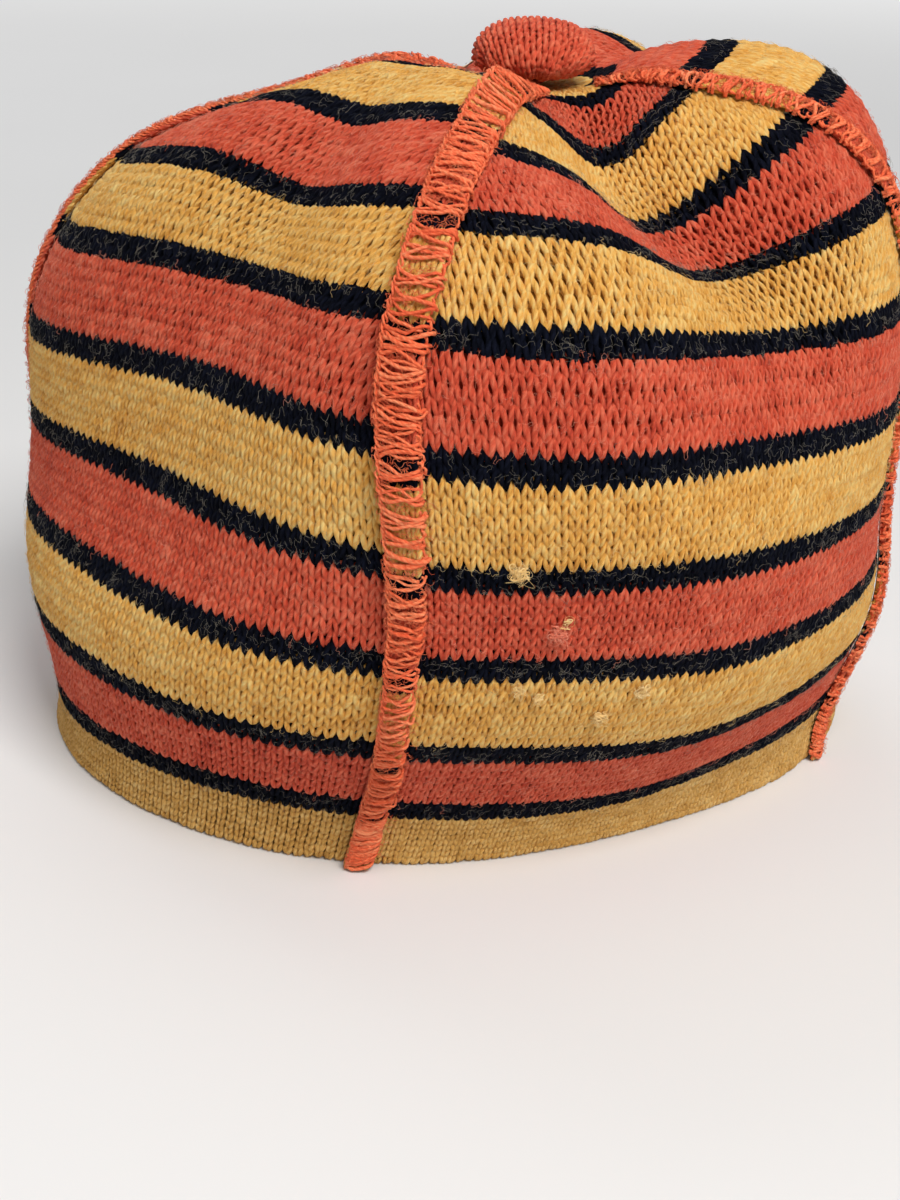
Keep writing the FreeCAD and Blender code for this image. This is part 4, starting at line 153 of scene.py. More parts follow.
8926,595,7563,8955,521,8237,8988,446,8933,9001,363,9655,8960,267,10404,8901,169,11165,
8799,70,11948,8569,-54,12719,8205,-196,13406,7620,-321,13974,6838,-407,14311,5933,-486,14511,
5021,-531,14470,4130,-583,14540,3369,-647,14085,2802,-704,13941,2295,-805,13906,1361,-1018,13888,
9060,2062,-738,8946,2103,5,8833,2143,748,8902,2187,1565,8951,2212,2168,9040,2219,2842,
9080,2191,3570,9004,2117,4295,8836,2007,4981,8663,1889,5628,8547,1779,6277,8486,1679,6925,
8478,1591,7582,8516,1512,8250,8582,1436,8935,8629,1353,9647,8633,1255,10389,8616,1154,11144,
8577,1054,11929,8426,920,12718,8140,755,13440,7671,570,14060,6969,392,14468,6128,198,14702,
5215,24,14691,4293,-151,14665,3483,-344,14343,2872,-521,13922,2301,-729,13917,1355,-1094,13877,
8926,3275,-697,8786,3283,-1,8645,3292,694,8652,3315,1505,8653,3323,2113,8685,3316,2790,
8679,3273,3528,8558,3168,4266,8348,3016,4971,8136,2855,5635,7985,2711,6298,7899,2587,6959,
7878,2485,7621,7918,2402,8286,8001,2333,8965,8064,2253,9668,8085,2157,10402,8079,2055,11145,
8064,1957,11914,7961,1821,12688,7739,1642,13407,7377,1423,14024,6786,1174,14464,6048,889,14726,
5196,593,14772,4308,296,14702,3496,-23,14498,2876,-326,13914,2289,-654,13923,1367,-1169,13871,
8507,4449,-664,8356,4423,0,8205,4396,665,8169,4389,1454,8140,4373,2063,8134,4343,2734,
8098,4277,3477,7952,4134,4227,7720,3932,4954,7484,3720,5637,7308,3533,6318,7200,3377,6993,
7162,3256,7663,7190,3166,8333,7270,3099,9010,7320,3017,9711,7323,2912,10434,7288,2793,11161,
7254,2684,11889,7159,2539,12602,6984,2351,13248,6717,2119,13803,6257,1833,14187,5660,1491,14476,
4939,1108,14593,4138,704,14549,3396,282,14449,2815,-144,13924,2258,-584,13921,1398,-1239,13872,
7848,5522,-637,7701,5463,0,7554,5403,637,7500,5368,1403,7457,5327,2012,7432,5274,2676,
7385,5186,3422,7237,5007,4181,7004,4754,4928,6762,4487,5631,6577,4255,6326,6456,4063,7015,
6403,3917,7695,6415,3812,8371,6478,3741,9052,6503,3643,9755,6474,3513,10471,6398,3357,11177,
6327,3214,11859,6220,3042,12486,6072,2841,13028,5876,2606,13449,5534,2306,13810,5082,1942,14103,
4512,1513,14282,3834,1034,14304,3203,535,14285,2703,11,13935,2210,-525,13917,1446,-1298,13877,
7001,6451,-614,6868,6366,0,6736,6281,614,6681,6224,1356,6642,6167,1965,6616,6098,2619,
6576,5996,3366,6445,5791,4134,6232,5496,4891,6007,5181,5607,5831,4906,6312,5711,4680,7010,
5655,4508,7697,5658,4388,8380,5710,4310,9068,5721,4196,9775,5680,4039,10488,5590,3846,11180,
5503,3665,11830,5391,3459,12402,5258,3234,12859,5102,2987,13251,4838,2672,13586,4487,2289,13881,
4035,1826,14095,3468,1286,14167,2956,724,14195,2555,126,13938,2150,-481,13914,1506,-1342,13880,
6017,7215,-595,5908,7113,0,5798,7012,595,5755,6944,1315,5729,6882,1923,5714,6810,2571,
5692,6708,3311,5594,6494,4095,5420,6174,4846,5230,5825,5564,5081,5520,6269,4980,5268,6971,
4933,5079,7664,4939,4949,8352,4991,4872,9046,5010,4756,9760,4985,4592,10481,4918,4385,11182,
4849,4187,11846,4753,3956,12437,4634,3699,12913,4494,3418,13316,4263,3057,13659,3962,2622,13961,
3578,2097,14174,3093,1484,14263,2685,852,14248,2387,196,13928,2081,-453,13915,1575,-1369,13878,
4941,7802,-579,4857,7693,0,4774,7584,579,4747,7518,1278,4739,7466,1886,4743,7406,2527,
4745,7323,3262,4688,7121,4053,4565,6798,4810,4424,6435,5510,4314,6115,6205,4242,5852,6902,
4215,5657,7595,4232,5527,8287,4289,5458,8987,4323,5354,9710,4325,5202,10446,4297,5008,11170,
4259,4811,11879,4188,4563,12540,4083,4263,13099,3949,3922,13542,3734,3480,13916,3460,2951,14227,
3122,2328,14410,2711,1626,14507,2405,915,14335,2215,218,13914,2011,-443,13917,1645,-1380,13876,
3812,8211,-565,3753,8102,0,3693,7992,565,3685,7941,1247,3693,7909,1854,3714,7877,2490,
3739,7829,3219,3722,7662,4009,3653,7360,4788,3565,7004,5463,3500,6689,6138,3462,6430,6821,
3457,6238,7508,3484,6112,8201,3542,6050,8908,3585,5957,9640,3607,5818,10388,3606,5636,11131,
3589,5433,11879,3538,5153,12600,3449,4796,13240,3329,4374,13731,3140,3829,14122,2910,3192,14440,
2635,2462,14575,2315,1678,14708,2131,897,14302,2051,194,13914,1942,-447,13914,1714,-1376,13879,
2663,8438,-554,2626,8334,0,2589,8231,554,2592,8199,1219,2611,8197,1827,2642,8204,2459,
2680,8204,3180,2692,8087,3973,2669,7826,4754,2631,7497,5450,2608,7204,6089,2602,6961,6754,
2616,6779,7431,2651,6658,8123,2704,6593,8838,2749,6497,9577,2779,6354,10332,2793,6163,11082,
2790,5925,11847,2756,5588,12587,2695,5155,13245,2607,4643,13757,2472,3995,14142,2315,3265,14451,
2130,2450,14556,1928,1617,14717,1885,793,14146,1904,124,13923,1880,-463,13908,1776,-1360,13885,
1521,8502,-544,1502,8408,0,1483,8314,544,1492,8306,1196,1512,8338,1804,1542,8388,2432,
1579,8443,3147,1606,8386,3940,1617,8178,4725,1620,7890,5423,1631,7630,6073,1650,7412,6721,
1680,7245,7386,1721,7128,8077,1768,7053,8797,1813,6943,9540,1850,6780,10296,1878,6561,11046,
1891,6263,11810,1887,5848,12542,1870,5331,13187,1835,4723,13679,1780,3982,14051,1719,3177,14333,
1641,2304,14450,1584,1457,14548,1684,616,13988,1785,16,13935,1825,-489,13901,1831,-1334,13893,
429,8369,-536,423,8286,0,417,8203,536,423,8217,1177,432,8280,1785,446,8371,2411,
463,8474,3119,483,8476,3910,506,8324,4698,532,8082,5400,561,7859,6048,595,7670,6699,
632,7520,7368,674,7408,8065,719,7319,8794,767,7191,9542,817,7007,10296,870,6752,11036,
923,6389,11767,977,5892,12438,1031,5298,13006,1086,4594,13464,1139,3782,13824,1197,2924,14071,
1233,2028,14221,1344,1205,14237,1571,372,13953,1698,-136,13916,1779,-520,13900,1877,-1303,13893,
-662,8237,-528,-655,8165,0,-648,8093,528,-646,8128,1158,-648,8223,1767,-651,8354,2391,
-653,8506,3092,-640,8566,3881,-605,8470,4670,-557,8274,5377,-508,8089,6022,-461,7929,6677,
-416,7796,7351,-373,7688,8054,-331,7585,8791,-279,7440,9545,-215,7234,10297,-138,6942,11025,
-45,6514,11724,66,5935,12334,192,5265,12825,336,4465,13250,498,3581,13596,675,2671,13809,
826,1751,13991,1103,954,13927,1458,129,13918,1610,-289,13898,1732,-551,13899,1924,-1272,13894,
# back_left
1533,8592,-544,1515,8497,0,1498,8403,544,1507,8395,1195,1529,8429,1803,1560,8482,2434,
1598,8540,3155,1627,8482,3961,1637,8266,4763,1639,7970,5474,1649,7706,6146,1667,7489,6823,
1696,7323,7533,1735,7214,8282,1779,7128,9072,1820,6982,9885,1854,6766,10696,1876,6468,11493,
1881,6041,12256,1867,5494,12905,1842,4875,13423,1802,4126,13809,1751,3330,14040,1699,2493,14130,
1619,1654,14254,1693,918,14044,1801,124,13920,1835,-238,13907,1835,-532,13898,1821,-1290,13895,
429,8369,-536,423,8286,0,417,8203,536,423,8217,1177,432,8280,1786,446,8372,2414,
463,8476,3130,484,8475,3934,507,8314,4737,534,8063,5451,565,7835,6122,600,7644,6800,
640,7494,7505,685,7385,8244,733,7287,9017,784,7134,9808,838,6917,10592,893,6610,11359,
948,6174,12091,1002,5618,12721,1056,4992,13229,1109,4250,13630,1160,3457,13934,1214,2634,14119,
1245,1805,14258,1385,1059,14182,1592,289,13943,1700,-150,13917,1780,-527,13900,1876,-1295,13894,
-674,8146,-529,-669,8075,0,-663,8004,529,-662,8039,1159,-665,8132,1768,-669,8262,2395,
-672,8412,3104,-659,8467,3906,-623,8361,4711,-572,8156,5428,-519,7965,6099,-467,7799,6778,
-416,7666,7478,-366,7557,8207,-313,7446,8963,-251,7286,9730,-178,7068,10488,-90,6752,11225,
16,6308,11926,138,5741,12538,270,5108,13035,416,4375,13451,568,3583,13827,729,2776,14108,
870,1956,14262,1076,1201,14319,1383,454,13966,1566,-61,13927,1725,-522,13901,1931,-1300,13893,
-1687,7766,-522,-1674,7706,0,-1662,7645,522,-1672,7694,1145,-1697,7809,1755,-1731,7966,2380,
-1770,8149,3084,-1784,8246,3883,-1755,8188,4688,-1695,8025,5407,-1634,7866,6076,-1575,7724,6756,
-1519,7604,7452,-1465,7496,8173,-1404,7373,8916,-1328,7205,9663,-1235,6985,10399,-1113,6669,11109,
-953,6226,11780,-759,5668,12366,-546,5045,12852,-308,4336,13247,-53,3568,13638,208,2787,13964,
466,2000,14149,745,1257,14319,1138,545,14033,1427,-11,13920,1672,-520,13905,1984,-1303,13889,
-2630,7312,-517,-2613,7261,0,-2596,7209,517,-2619,7267,1133,-2671,7395,1744,-2740,7568,2367,
-2821,7771,3067,-2871,7898,3864,-2856,7876,4667,-2796,7746,5389,-2734,7613,6057,-2673,7489,6736,
-2615,7375,7429,-2556,7262,8143,-2482,7120,8874,-2387,6934,9603,-2265,6694,10312,-2100,6365,10990,
-1880,5917,11613,-1614,5372,12146,-1322,4774,12589,-999,4113,12954,-651,3398,13348,-299,2672,13703,
59,1946,13936,418,1243,14179,888,581,14079,1282,9,13916,1618,-522,13908,2038,-1300,13886,
-3510,6799,-513,-3490,6754,0,-3469,6709,513,-3508,6771,1124,-3588,6903,1736,-3696,7082,2358,
-3824,7292,3054,-3914,7434,3848,-3923,7435,4651,-3869,7330,5374,-3810,7215,6040,-3750,7101,6718,
-3690,6987,7408,-3622,6861,8118,-3526,6693,8839,-3395,6476,9550,-3226,6201,10228,-2999,5841,10864,
-2701,5376,11418,-2355,4843,11862,-1988,4286,12217,-1595,3691,12530,-1175,3059,12908,-754,2420,13265,
-322,1786,13554,109,1156,13847,642,560,14057,1133,3,13922,1562,-529,13908,2094,-1293,13886,
-4349,6244,-509,-4325,6204,0,-4300,6163,509,-4354,6223,1118,-4463,6352,1731,-4611,6527,2353,
-4787,6732,3045,-4920,6875,3837,-4954,6889,4639,-4911,6800,5363,-4858,6697,6029,-4802,6587,6706,
-4739,6469,7394,-4658,6331,8100,-4532,6140,8814,-4356,5896,9510,-4122,5589,10160,-3814,5203,10757,
-3423,4730,11240,-2991,4219,11590,-2556,3712,11844,-2103,3190,12101,-1630,2648,12447,-1160,2105,12794,
-675,1568,13134,-185,1021,13462,403,496,13969,982,-27,13937,1504,-542,13905,2152,-1280,13888,
-5162,5645,-506,-5132,5606,0,-5102,5568,506,-5169,5622,1114,-5307,5741,1730,-5493,5902,2353,
-5715,6091,3043,-5890,6224,3832,-5951,6239,4634,-5920,6159,5359,-5877,6061,6025,-5827,5954,6701,
-5765,5833,7387,-5676,5688,8091,-5525,5489,8802,-5308,5239,9493,-5015,4929,10128,-4633,4552,10704,
-4161,4107,11149,-3654,3643,11445,-3157,3197,11647,-2647,2744,11859,-2117,2277,12182,-1592,1807,12523,
-1043,1346,12917,-490,865,13240,164,400,13895,833,-81,13948,1445,-564,13903,2211,-1259,13890,
-5956,4985,-504,-5918,4948,0,-5879,4910,504,-5956,4954,1114,-6118,5056,1734,-6339,5195,2359,
-6604,5358,3047,-6817,5470,3834,-6902,5476,4635,-6884,5397,5362,-6852,5300,6029,-6812,5191,6705,
-6758,5068,7390,-6670,4920,8095,-6510,4727,8808,-6273,4490,9502,-5948,4206,10141,-5524,3873,10723,
-5009,3495,11178,-4453,3105,11486,-3905,2730,11715,-3330,2340,11914,-2721,1934,12227,-2108,1513,12579,
-1458,1108,13008,-813,683,13338,-73,268,13913,696,-163,13951,1389,-595,13904,2267,-1227,13889,
-6720,4243,-503,-6670,4207,0,-6619,4170,503,-6701,4200,1117,-6882,4280,1743,-7131,4389,2371,
-7430,4514,3060,-7671,4593,3844,-7773,4582,4645,-7764,4496,5374,-7742,4393,6044,-7712,4278,6722,
-7667,4146,7407,-7588,3995,8114,-7430,3807,8834,-7191,3589,9540,-6855,3339,10198,-6419,3060,10805,
-5894,2760,11300,-5316,2455,11669,-4728,2156,11959,-4075,1834,12230,-3368,1492,12499,-2636,1126,12858,
-1863,789,13293,-1107,437,13625,-273,85,14049,584,-273,13943,1340,-638,13909,2316,-1185,13884,
-7426,3398,-502,-7361,3364,0,-7295,3329,502,-7375,3344,1124,-7565,3396,1757,-7831,3467,2391,
-8152,3547,3083,-8407,3585,3865,-8512,3548,4665,-8502,3450,5396,-8483,3335,6072,-8458,3206,6752,
-8418,3060,7441,-8341,2896,8152,-8183,2706,8883,-7935,2496,9605,-7581,2270,10286,-7131,2036,10920,
-6601,1805,11456,-6007,1578,11883,-5386,1360,12231,-4657,1119,12549,-3856,863,12816,-3009,583,13152,
-2135,354,13571,-1300,109,13886,-381,-152,14184,517,-411,13934,1301,-690,13913,2355,-1133,13880,
-8027,2440,-503,-7945,2411,0,-7862,2381,503,-7932,2381,1134,-8119,2402,1778,-8387,2433,2420,
-8710,2462,3118,-8957,2455,3898,-9047,2390,4696,-9022,2277,5428,-8995,2148,6113,-8965,2003,6798,
-8920,1839,7493,-8833,1656,8214,-8660,1457,8960,-8381,1249,9702,-7979,1040,10403,-7492,846,11056,
-6937,673,11611,-6324,523,12061,-5673,387,12435,-4884,244,12763,-4019,97,13027,-3103,-62,13348,
-2189,-152,13728,-1340,-270,14026,-356,-418,14212,512,-568,13929,1277,-750,13914,2379,-1073,13879,
-8495,1381,-506,-8395,1359,0,-8295,1338,506,-8350,1324,1148,-8523,1316,1802,-8778,1305,2456,
-9083,1284,3162,-9301,1233,3941,-9353,1141,4737,-9299,1017,5472,-9250,874,6168,-9200,714,6860,
-9135,531,7565,-9023,332,8299,-8820,126,9065,-8488,-74,9828,-8018,-255,10549,-7482,-402,11214,
-6894,-512,11771,-6271,-585,12217,-5590,-637,12597,-4764,-670,12908,-3867,-700,13191,-2927,-713,13509,
-2042,-659,13818,-1226,-651,14132,-206,-680,14135,580,-726,13930,1272,-814,13911,2384,-1008,13883,
-8711,240,-512,-8598,228,0,-8485,216,512,-8522,193,1167,-8669,160,1832,-8892,114,2498,
-9156,52,3216,-9313,-29,3998,-9302,-130,4794,-9196,-252,5531,-9106,-395,6242,-9022,-558,6945,
-8924,-745,7666,-8781,-948,8422,-8546,-1147,9215,-8167,-1322,10006,-7651,-1455,10754,-7095,-1546,11437,
-6488,-1586,12002,-5871,-1585,12452,-5141,-1540,12828,-4303,-1457,13135,-3384,-1369,13375,-2499,-1230,13609,
-1708,-1069,13856,-934,-956,14112,85,-880,14031,723,-872,13918,1280,-879,13906,2376,-944,13888,
-8926,-902,-518,-8801,-904,0,-8676,-906,518,-8694,-938,1186,-8816,-996,1861,-9007,-1077,2541,
-9228,-1181,3270,-9325,-1292,4056,-9252,-1402,4850,-9094,-1520,5591,-8963,-1663,6316,-8843,-1829,7031,
-8713,-2022,7768,-8540,-2227,8546,-8273,-2421,9364,-7845,-2570,10183,-7285,-2655,10958,-6707,-2689,11661,
-6081,-2660,12232,-5472,-2586,12686,-4692,-2444,13060,-3843,-2244,13363,-2901,-2038,13558,-2072,-1747,13710,
-1375,-1479,13894,-642,-1261,14093,376,-1079,13928,866,-1019,13906,1288,-944,13901,2368,-879,13893,
# front_left
-8622,1399,-504,-8519,1377,0,-8415,1356,504,-8471,1341,1146,-8648,1329,1801,-8910,1314,2455,
-9227,1286,3157,-9454,1225,3935,-9519,1122,4731,-9471,988,5464,-9430,836,6159,-9385,667,6848,
-9321,474,7560,-9200,262,8312,-8979,43,9107,-8603,-167,9901,-8072,-349,10649,-7484,-490,11325,
-6839,-585,11876,-6187,-646,12312,-5383,-666,12690,-4565,-721,12983,-3595,-758,13211,-2677,-725,13456,
-1800,-634,13746,-955,-614,14093,251,-628,13994,838,-718,13887,1310,-806,13904,2346,-1017,13890,
-8711,240,-512,-8598,228,0,-8485,216,512,-8522,193,1167,-8669,160,1832,-8892,114,2498,
-9156,52,3216,-9313,-29,3998,-9302,-130,4794,-9196,-252,5531,-9106,-395,6242,-9022,-558,6945,
-8924,-745,7666,-8781,-948,8422,-8546,-1147,9215,-8167,-1322,10006,-7651,-1455,10754,-7095,-1546,11437,
-6488,-1586,12002,-5871,-1585,12452,-5141,-1540,12828,-4303,-1457,13135,-3384,-1369,13375,-2499,-1230,13609,
-1708,-1069,13856,-934,-956,14112,85,-880,14031,723,-872,13918,1280,-879,13906,2376,-944,13888,
-8799,-919,-520,-8677,-921,0,-8555,-924,520,-8573,-955,1188,-8691,-1010,1863,-8875,-1086,2542,
-9084,-1183,3274,-9172,-1284,4062,-9086,-1382,4857,-8921,-1491,5599,-8783,-1625,6325,-8658,-1782,7043,
-8527,-1964,7772,-8363,-2157,8532,-8114,-2337,9322,-7730,-2477,10110,-7231,-2561,10859,-6706,-2602,11549,
-6136,-2587,12128,-5555,-2525,12591,-4899,-2415,12967,-4042,-2193,13288,-3173,-1980,13538,-2322,-1734,13763,
-1616,-1504,13965,-913,-1299,14132,-81,-1132,14068,608,-1026,13949,1249,-952,13908,2407,-870,13886,
-8593,-2062,-536,-8467,-2057,0,-8342,-2052,536,-8345,-2091,1220,-8428,-2161,1900,-8564,-2256,2592,
-8707,-2370,3337,-8709,-2465,4133,-8542,-2533,4927,-8317,-2605,5676,-8126,-2709,6420,-7962,-2842,7156,
-7802,-3002,7899,-7627,-3175,8667,-7375,-3328,9457,-7007,-3431,10245,-6558,-3479,10999,-6087,-3486,11705,
-5562,-3429,12307,-5025,-3319,12791,-4397,-3144,13184,-3645,-2843,13488,-2857,-2532,13732,-2077,-2193,13937,
-1449,-1897,14103,-834,-1617,14193,-144,-1374,14106,547,-1181,13968,1236,-1024,13909,2420,-799,13884,
-8172,-3120,-563,-8047,-3113,0,-7922,-3106,563,-7913,-3155,1264,-7966,-3238,1945,-8057,-3346,2644,
-8134,-3463,3400,-8064,-3536,4201,-7831,-3558,4995,-7559,-3580,5753,-7328,-3641,6512,-7133,-3739,7267,
-6956,-3870,8025,-6778,-4020,8803,-6530,-4145,9593,-6184,-4215,10378,-5797,-4243,11136,-5381,-4227,11855,
-4907,-4136,12478,-4412,-3985,12983,-3824,-3747,13399,-3148,-3376,13697,-2446,-2990,13938,-1752,-2578,14126,
-1195,-2225,14267,-673,-1893,14282,-89,-1593,14138,556,-1329,13975,1247,-1091,13909,2409,-731,13884,
-7546,-4043,-607,-7423,-4040,0,-7300,-4037,607,-7286,-4105,1327,-7315,-4203,2002,-7370,-4324,2700,
-7395,-4439,3458,-7273,-4481,4263,-7001,-4448,5058,-6703,-4414,5822,-6449,-4424,6594,-6237,-4480,7366,
-6052,-4578,8140,-5872,-4701,8926,-5630,-4793,9715,-5311,-4833,10492,-4977,-4850,11246,-4609,-4816,11963,
-4188,-4701,12595,-3740,-4514,13116,-3206,-4225,13561,-2610,-3797,13861,-1992,-3351,14111,-1383,-2884,14296,
-889,-2483,14423,-444,-2116,14358,48,-1779,14153,626,-1459,13975,1280,-1152,13909,2376,-671,13885,
-6782,-4816,-661,-6658,-4820,0,-6535,-4825,661,-6518,-4920,1398,-6526,-5037,2062,-6553,-5174,2752,
-6541,-5287,3506,-6394,-5303,4311,-6114,-5221,5107,-5817,-5135,5876,-5560,-5094,6658,-5345,-5107,7445,
-5163,-5170,8236,-4982,-5258,9030,-4744,-5312,9817,-4448,-5318,10579,-4150,-5317,11315,-3818,-5260,12007,
-3444,-5122,12624,-3047,-4906,13145,-2575,-4580,13610,-2063,-4113,13922,-1531,-3626,14198,-1004,-3119,14405,
-567,-2680,14526,-184,-2287,14392,231,-1924,14146,737,-1564,13967,1330,-1202,13908,2326,-620,13886,
-5930,-5438,-718,-5803,-5454,0,-5677,-5470,718,-5650,-5597,1468,-5639,-5738,2115,-5644,-5897,2793,
-5614,-6020,3536,-5468,-6025,4339,-5208,-5912,5137,-4934,-5785,5907,-4694,-5702,6697,-4490,-5673,7497,
-4316,-5698,8305,-4136,-5740,9110,-3902,-5740,9892,-3623,-5699,10633,-3341,-5657,11333,-3033,-5562,11970,
-2701,-5398,12539,-2355,-5160,13037,-1950,-4810,13497,-1533,-4338,13852,-1086,-3834,14179,-638,-3301,14443,
-253,-2830,14558,83,-2412,14379,439,-2028,14119,874,-1641,13956,1391,-1241,13907,2265,-582,13887,
-5034,-5926,-770,-4899,-5954,0,-4764,-5981,770,-4721,-6143,1527,-4688,-6312,2154,-4673,-6501,2814,
-4635,-6650,3540,-4508,-6671,4338,-4290,-6554,5139,-4058,-6408,5908,-3851,-6297,6703,-3671,-6233,7514,
-3514,-6215,8341,-3344,-6198,9160,-3123,-6128,9940,-2861,-6020,10658,-2591,-5913,11306,-2306,-5766,11874,
-2011,-5569,12375,-1715,-5315,12838,-1377,-4953,13266,-1043,-4510,13707,-669,-3999,14104,-289,-3446,14442,
48,-2945,14545,345,-2502,14342,654,-2094,14082,1023,-1687,13944,1458,-1266,13906,2198,-557,13888,
-4119,-6295,-813,-3971,-6331,0,-3822,-6366,813,-3757,-6563,1573,-3698,-6762,2182,-3660,-6990,2824,
-3614,-7180,3536,-3509,-7239,4327,-3338,-7147,5130,-3156,-7008,5896,-2995,-6890,6690,-2855,-6804,7505,
-2731,-6748,8346,-2592,-6676,9181,-2407,-6542,9965,-2181,-6375,10671,-1938,-6208,11289,-1682,-6011,11817,
-1424,-5777,12283,-1170,-5501,12730,-885,-5118,13142,-599,-4682,13640,-279,-4147,14081,47,-3561,14454,
338,-3030,14534,601,-2558,14303,870,-2124,14048,1178,-1705,13934,1528,-1277,13904,2128,-545,13889,
-3198,-6558,-841,-3035,-6598,0,-2872,-6638,841,-2775,-6865,1607,-2683,-7094,2203,-2615,-7363,2834,
-2551,-7601,3539,-2456,-7711,4327,-2325,-7662,5130,-2194,-7555,5885,-2085,-7456,6670,-1997,-7372,7478,
-1925,-7295,8321,-1842,-7190,9169,-1721,-7026,9969,-1555,-6835,10686,-1357,-6636,11315,-1139,-6406,11863,
-915,-6132,12356,-693,-5812,12824,-452,-5392,13271,-179,-4872,13730,104,-4274,14156,380,-3634,14493,
626,-3076,14534,854,-2573,14265,1084,-2115,14018,1330,-1692,13926,1599,-1275,13903,2057,-548,13890,
-2282,-6726,-851,-2103,-6763,0,-1924,-6800,851,-1788,-7051,1626,-1656,-7303,2220,-1549,-7611,2855,
-1454,-7892,3566,-1352,-8049,4358,-1244,-8047,5154,-1155,-7992,5892,-1093,-7935,6655,-1059,-7877,7439,
-1050,-7802,8269,-1039,-7689,9119,-997,-7525,9937,-897,-7334,10679,-746,-7122,11349,-564,-6856,11949,
-375,-6527,12496,-188,-6138,12995,12,-5659,13483,261,-5012,13865,501,-4334,14247,721,-3641,14516,
920,-3062,14501,1107,-2537,14209,1292,-2061,13987,1476,-1650,13919,1665,-1261,13902,1991,-562,13891,
-1366,-6808,-843,-1173,-6835,0,-980,-6861,843,-804,-7125,1629,-629,-7393,2229,-474,-7731,2875,
-338,-8051,3604,-217,-8243,4405,-117,-8288,5193,-51,-8289,5909,-23,-8285,6644,-32,-8268,7397,
-83,-8219,8205,-143,-8111,9049,-174,-7950,9879,-132,-7756,10645,-21,-7509,11347,125,-7183,11985,
272,-6770,12551,411,-6294,13048,560,-5735,13510,747,-5009,13893,917,-4278,14248,1070,-3563,14498,
1220,-2973,14401,1354,-2447,14118,1489,-1953,13952,1610,-1580,13914,1727,-1239,13901,1929,-584,13893,
-453,-6758,-816,-256,-6770,0,-59,-6781,816,152,-7042,1605,364,-7314,2216,567,-7669,2876,
749,-8011,3628,899,-8228,4441,1006,-8306,5224,1073,-8354,5923,1097,-8398,6637,1077,-8430,7364,
1004,-8427,8154,909,-8350,8999,839,-8215,9847,845,-8024,10646,915,-7734,11388,1002,-7320,12055,
1066,-6801,12613,1114,-6233,13071,1174,-5573,13471,1256,-4869,13836,1343,-4119,14173,1424,-3419,14451,
1521,-2827,14250,1594,-2323,13998,1679,-1802,13911,1735,-1490,13910,1785,-1214,13898,1871,-609,13896,
460,-6709,-788,661,-6705,0,861,-6701,788,1107,-6958,1581,1357,-7235,2203,1608,-7608,2878,
1837,-7972,3652,2015,-8213,4478,2130,-8325,5256,2197,-8419,5938,2216,-8511,6629,2186,-8591,7331,
2092,-8635,8103,1962,-8590,8948,1851,-8479,9816,1822,-8292,10648,1851,-7959,11429,1879,-7457,12126,
1860,-6832,12676,1817,-6172,13094,1787,-5411,13432,1765,-4730,13778,1768,-3960,14098,1777,-3276,14403,
1822,-2682,14099,1833,-2198,13878,1869,-1650,13871,1860,-1401,13907,1843,-1189,13895,1813,-633,13898,
]
NET = np.array(NET_TABLE, float).reshape(4, SPANS_ACROSS + 3, SPANS_UP + 2, 3)
NET = np.insert(NET, SPANS_UP + 1, POLE, axis=2) / 100.0


def ease(x):
    x = np.clip(x, 0.0, 1.0)
    return x * x * (3 - 2 * x)


def unit(v):
    return v / np.maximum(np.linalg.norm(v, axis=-1, keepdims=True), 1e-9)


def basis(x):
    """The four cubic B-spline weights at x = 0..1 of a span."""
    y = 1.0 - x
    return np.stack([y ** 3 / 6, (3 * x ** 3 - 6 * x ** 2 + 4) / 6,
                     (-3 * x ** 3 + 3 * x ** 2 + 3 * x + 1) / 6, x ** 3 / 6], -1)


def skin(g, across, course):
    """Outer face of gore g; across runs -1..1 from seam to seam."""
    across, course = np.broadcast_arrays(np.asarray(across, float), np.asarray(course, float))
    x = (across + 1) / 2 * SPANS_ACROSS
    y = (course - RIM) / (TOP - RIM) * SPANS_UP
    i = np.clip(np.floor(x).astype(int), 0, SPANS_ACROSS - 1)
    j = np.clip(np.floor(y).astype(int), 0, SPANS_UP - 1)
    weight_x, weight_y = basis(x - i), basis(y - j)
    out = np.zeros(across.shape + (3,))
    for p in range(4):
        for q in range(4):
            out += (weight_x[..., p] * weight_y[..., q])[..., None] * NET[g][i + p, j + q]
    return out


def bilinear(table, x, y):
    """table[nx, ny, k] sampled at index coordinates x, y."""
    x = np.clip(x, 0, table.shape[0] - 1.001)
    y = np.clip(y, 0, table.shape[1] - 1.001)
    i, j = x.astype(int), y.astype(int)
    fx, fy = (x - i)[..., None], (y - j)[..., None]
    return ((table[i, j] * (1 - fx) + table[i + 1, j] * fx) * (1 - fy)
            + (table[i, j + 1] * (1 - fx) + table[i + 1, j + 1] * fx) * fy)


ACROSS = np.linspace(-1, 1, 49)
COURSES = np.linspace(RIM, TOP - 0.15, 169)
SEAM_BLEND = 5                      # grid columns that turn to the seam's shared normal
SURFACE = [skin(g, ACROSS[:, None], COURSES[None, :]) for g in range(4)]
WIDTH = [np.linalg.norm(np.diff(s, axis=0), axis=-1).sum(0) for s in SURFACE]


def gore_normals():
    normals = [unit(np.cross(np.gradient(s, axis=0), np.gradient(s, axis=1))) for s in SURFACE]
    for g in range(4):
        here, after = normals[g], normals[(g + 1) % 4]
        shared = unit(here[-1] + after[0])
        for k in range(SEAM_BLEND):
            w = 1 - k / SEAM_BLEND
            here[-1 - k] = unit(here[-1 - k] * (1 - w) + shared * w)
            after[k] = unit(after[k] * (1 - w) + shared * w)
    # level normals at the rim
    low = (1 - ease((COURSES - RIM) / 3.0))[None, :, None]
    return [unit(n * (1 - low) + unit(n * np.array([1, 1, 0.0])) * low) for n in normals]


NORMALS = gore_normals()


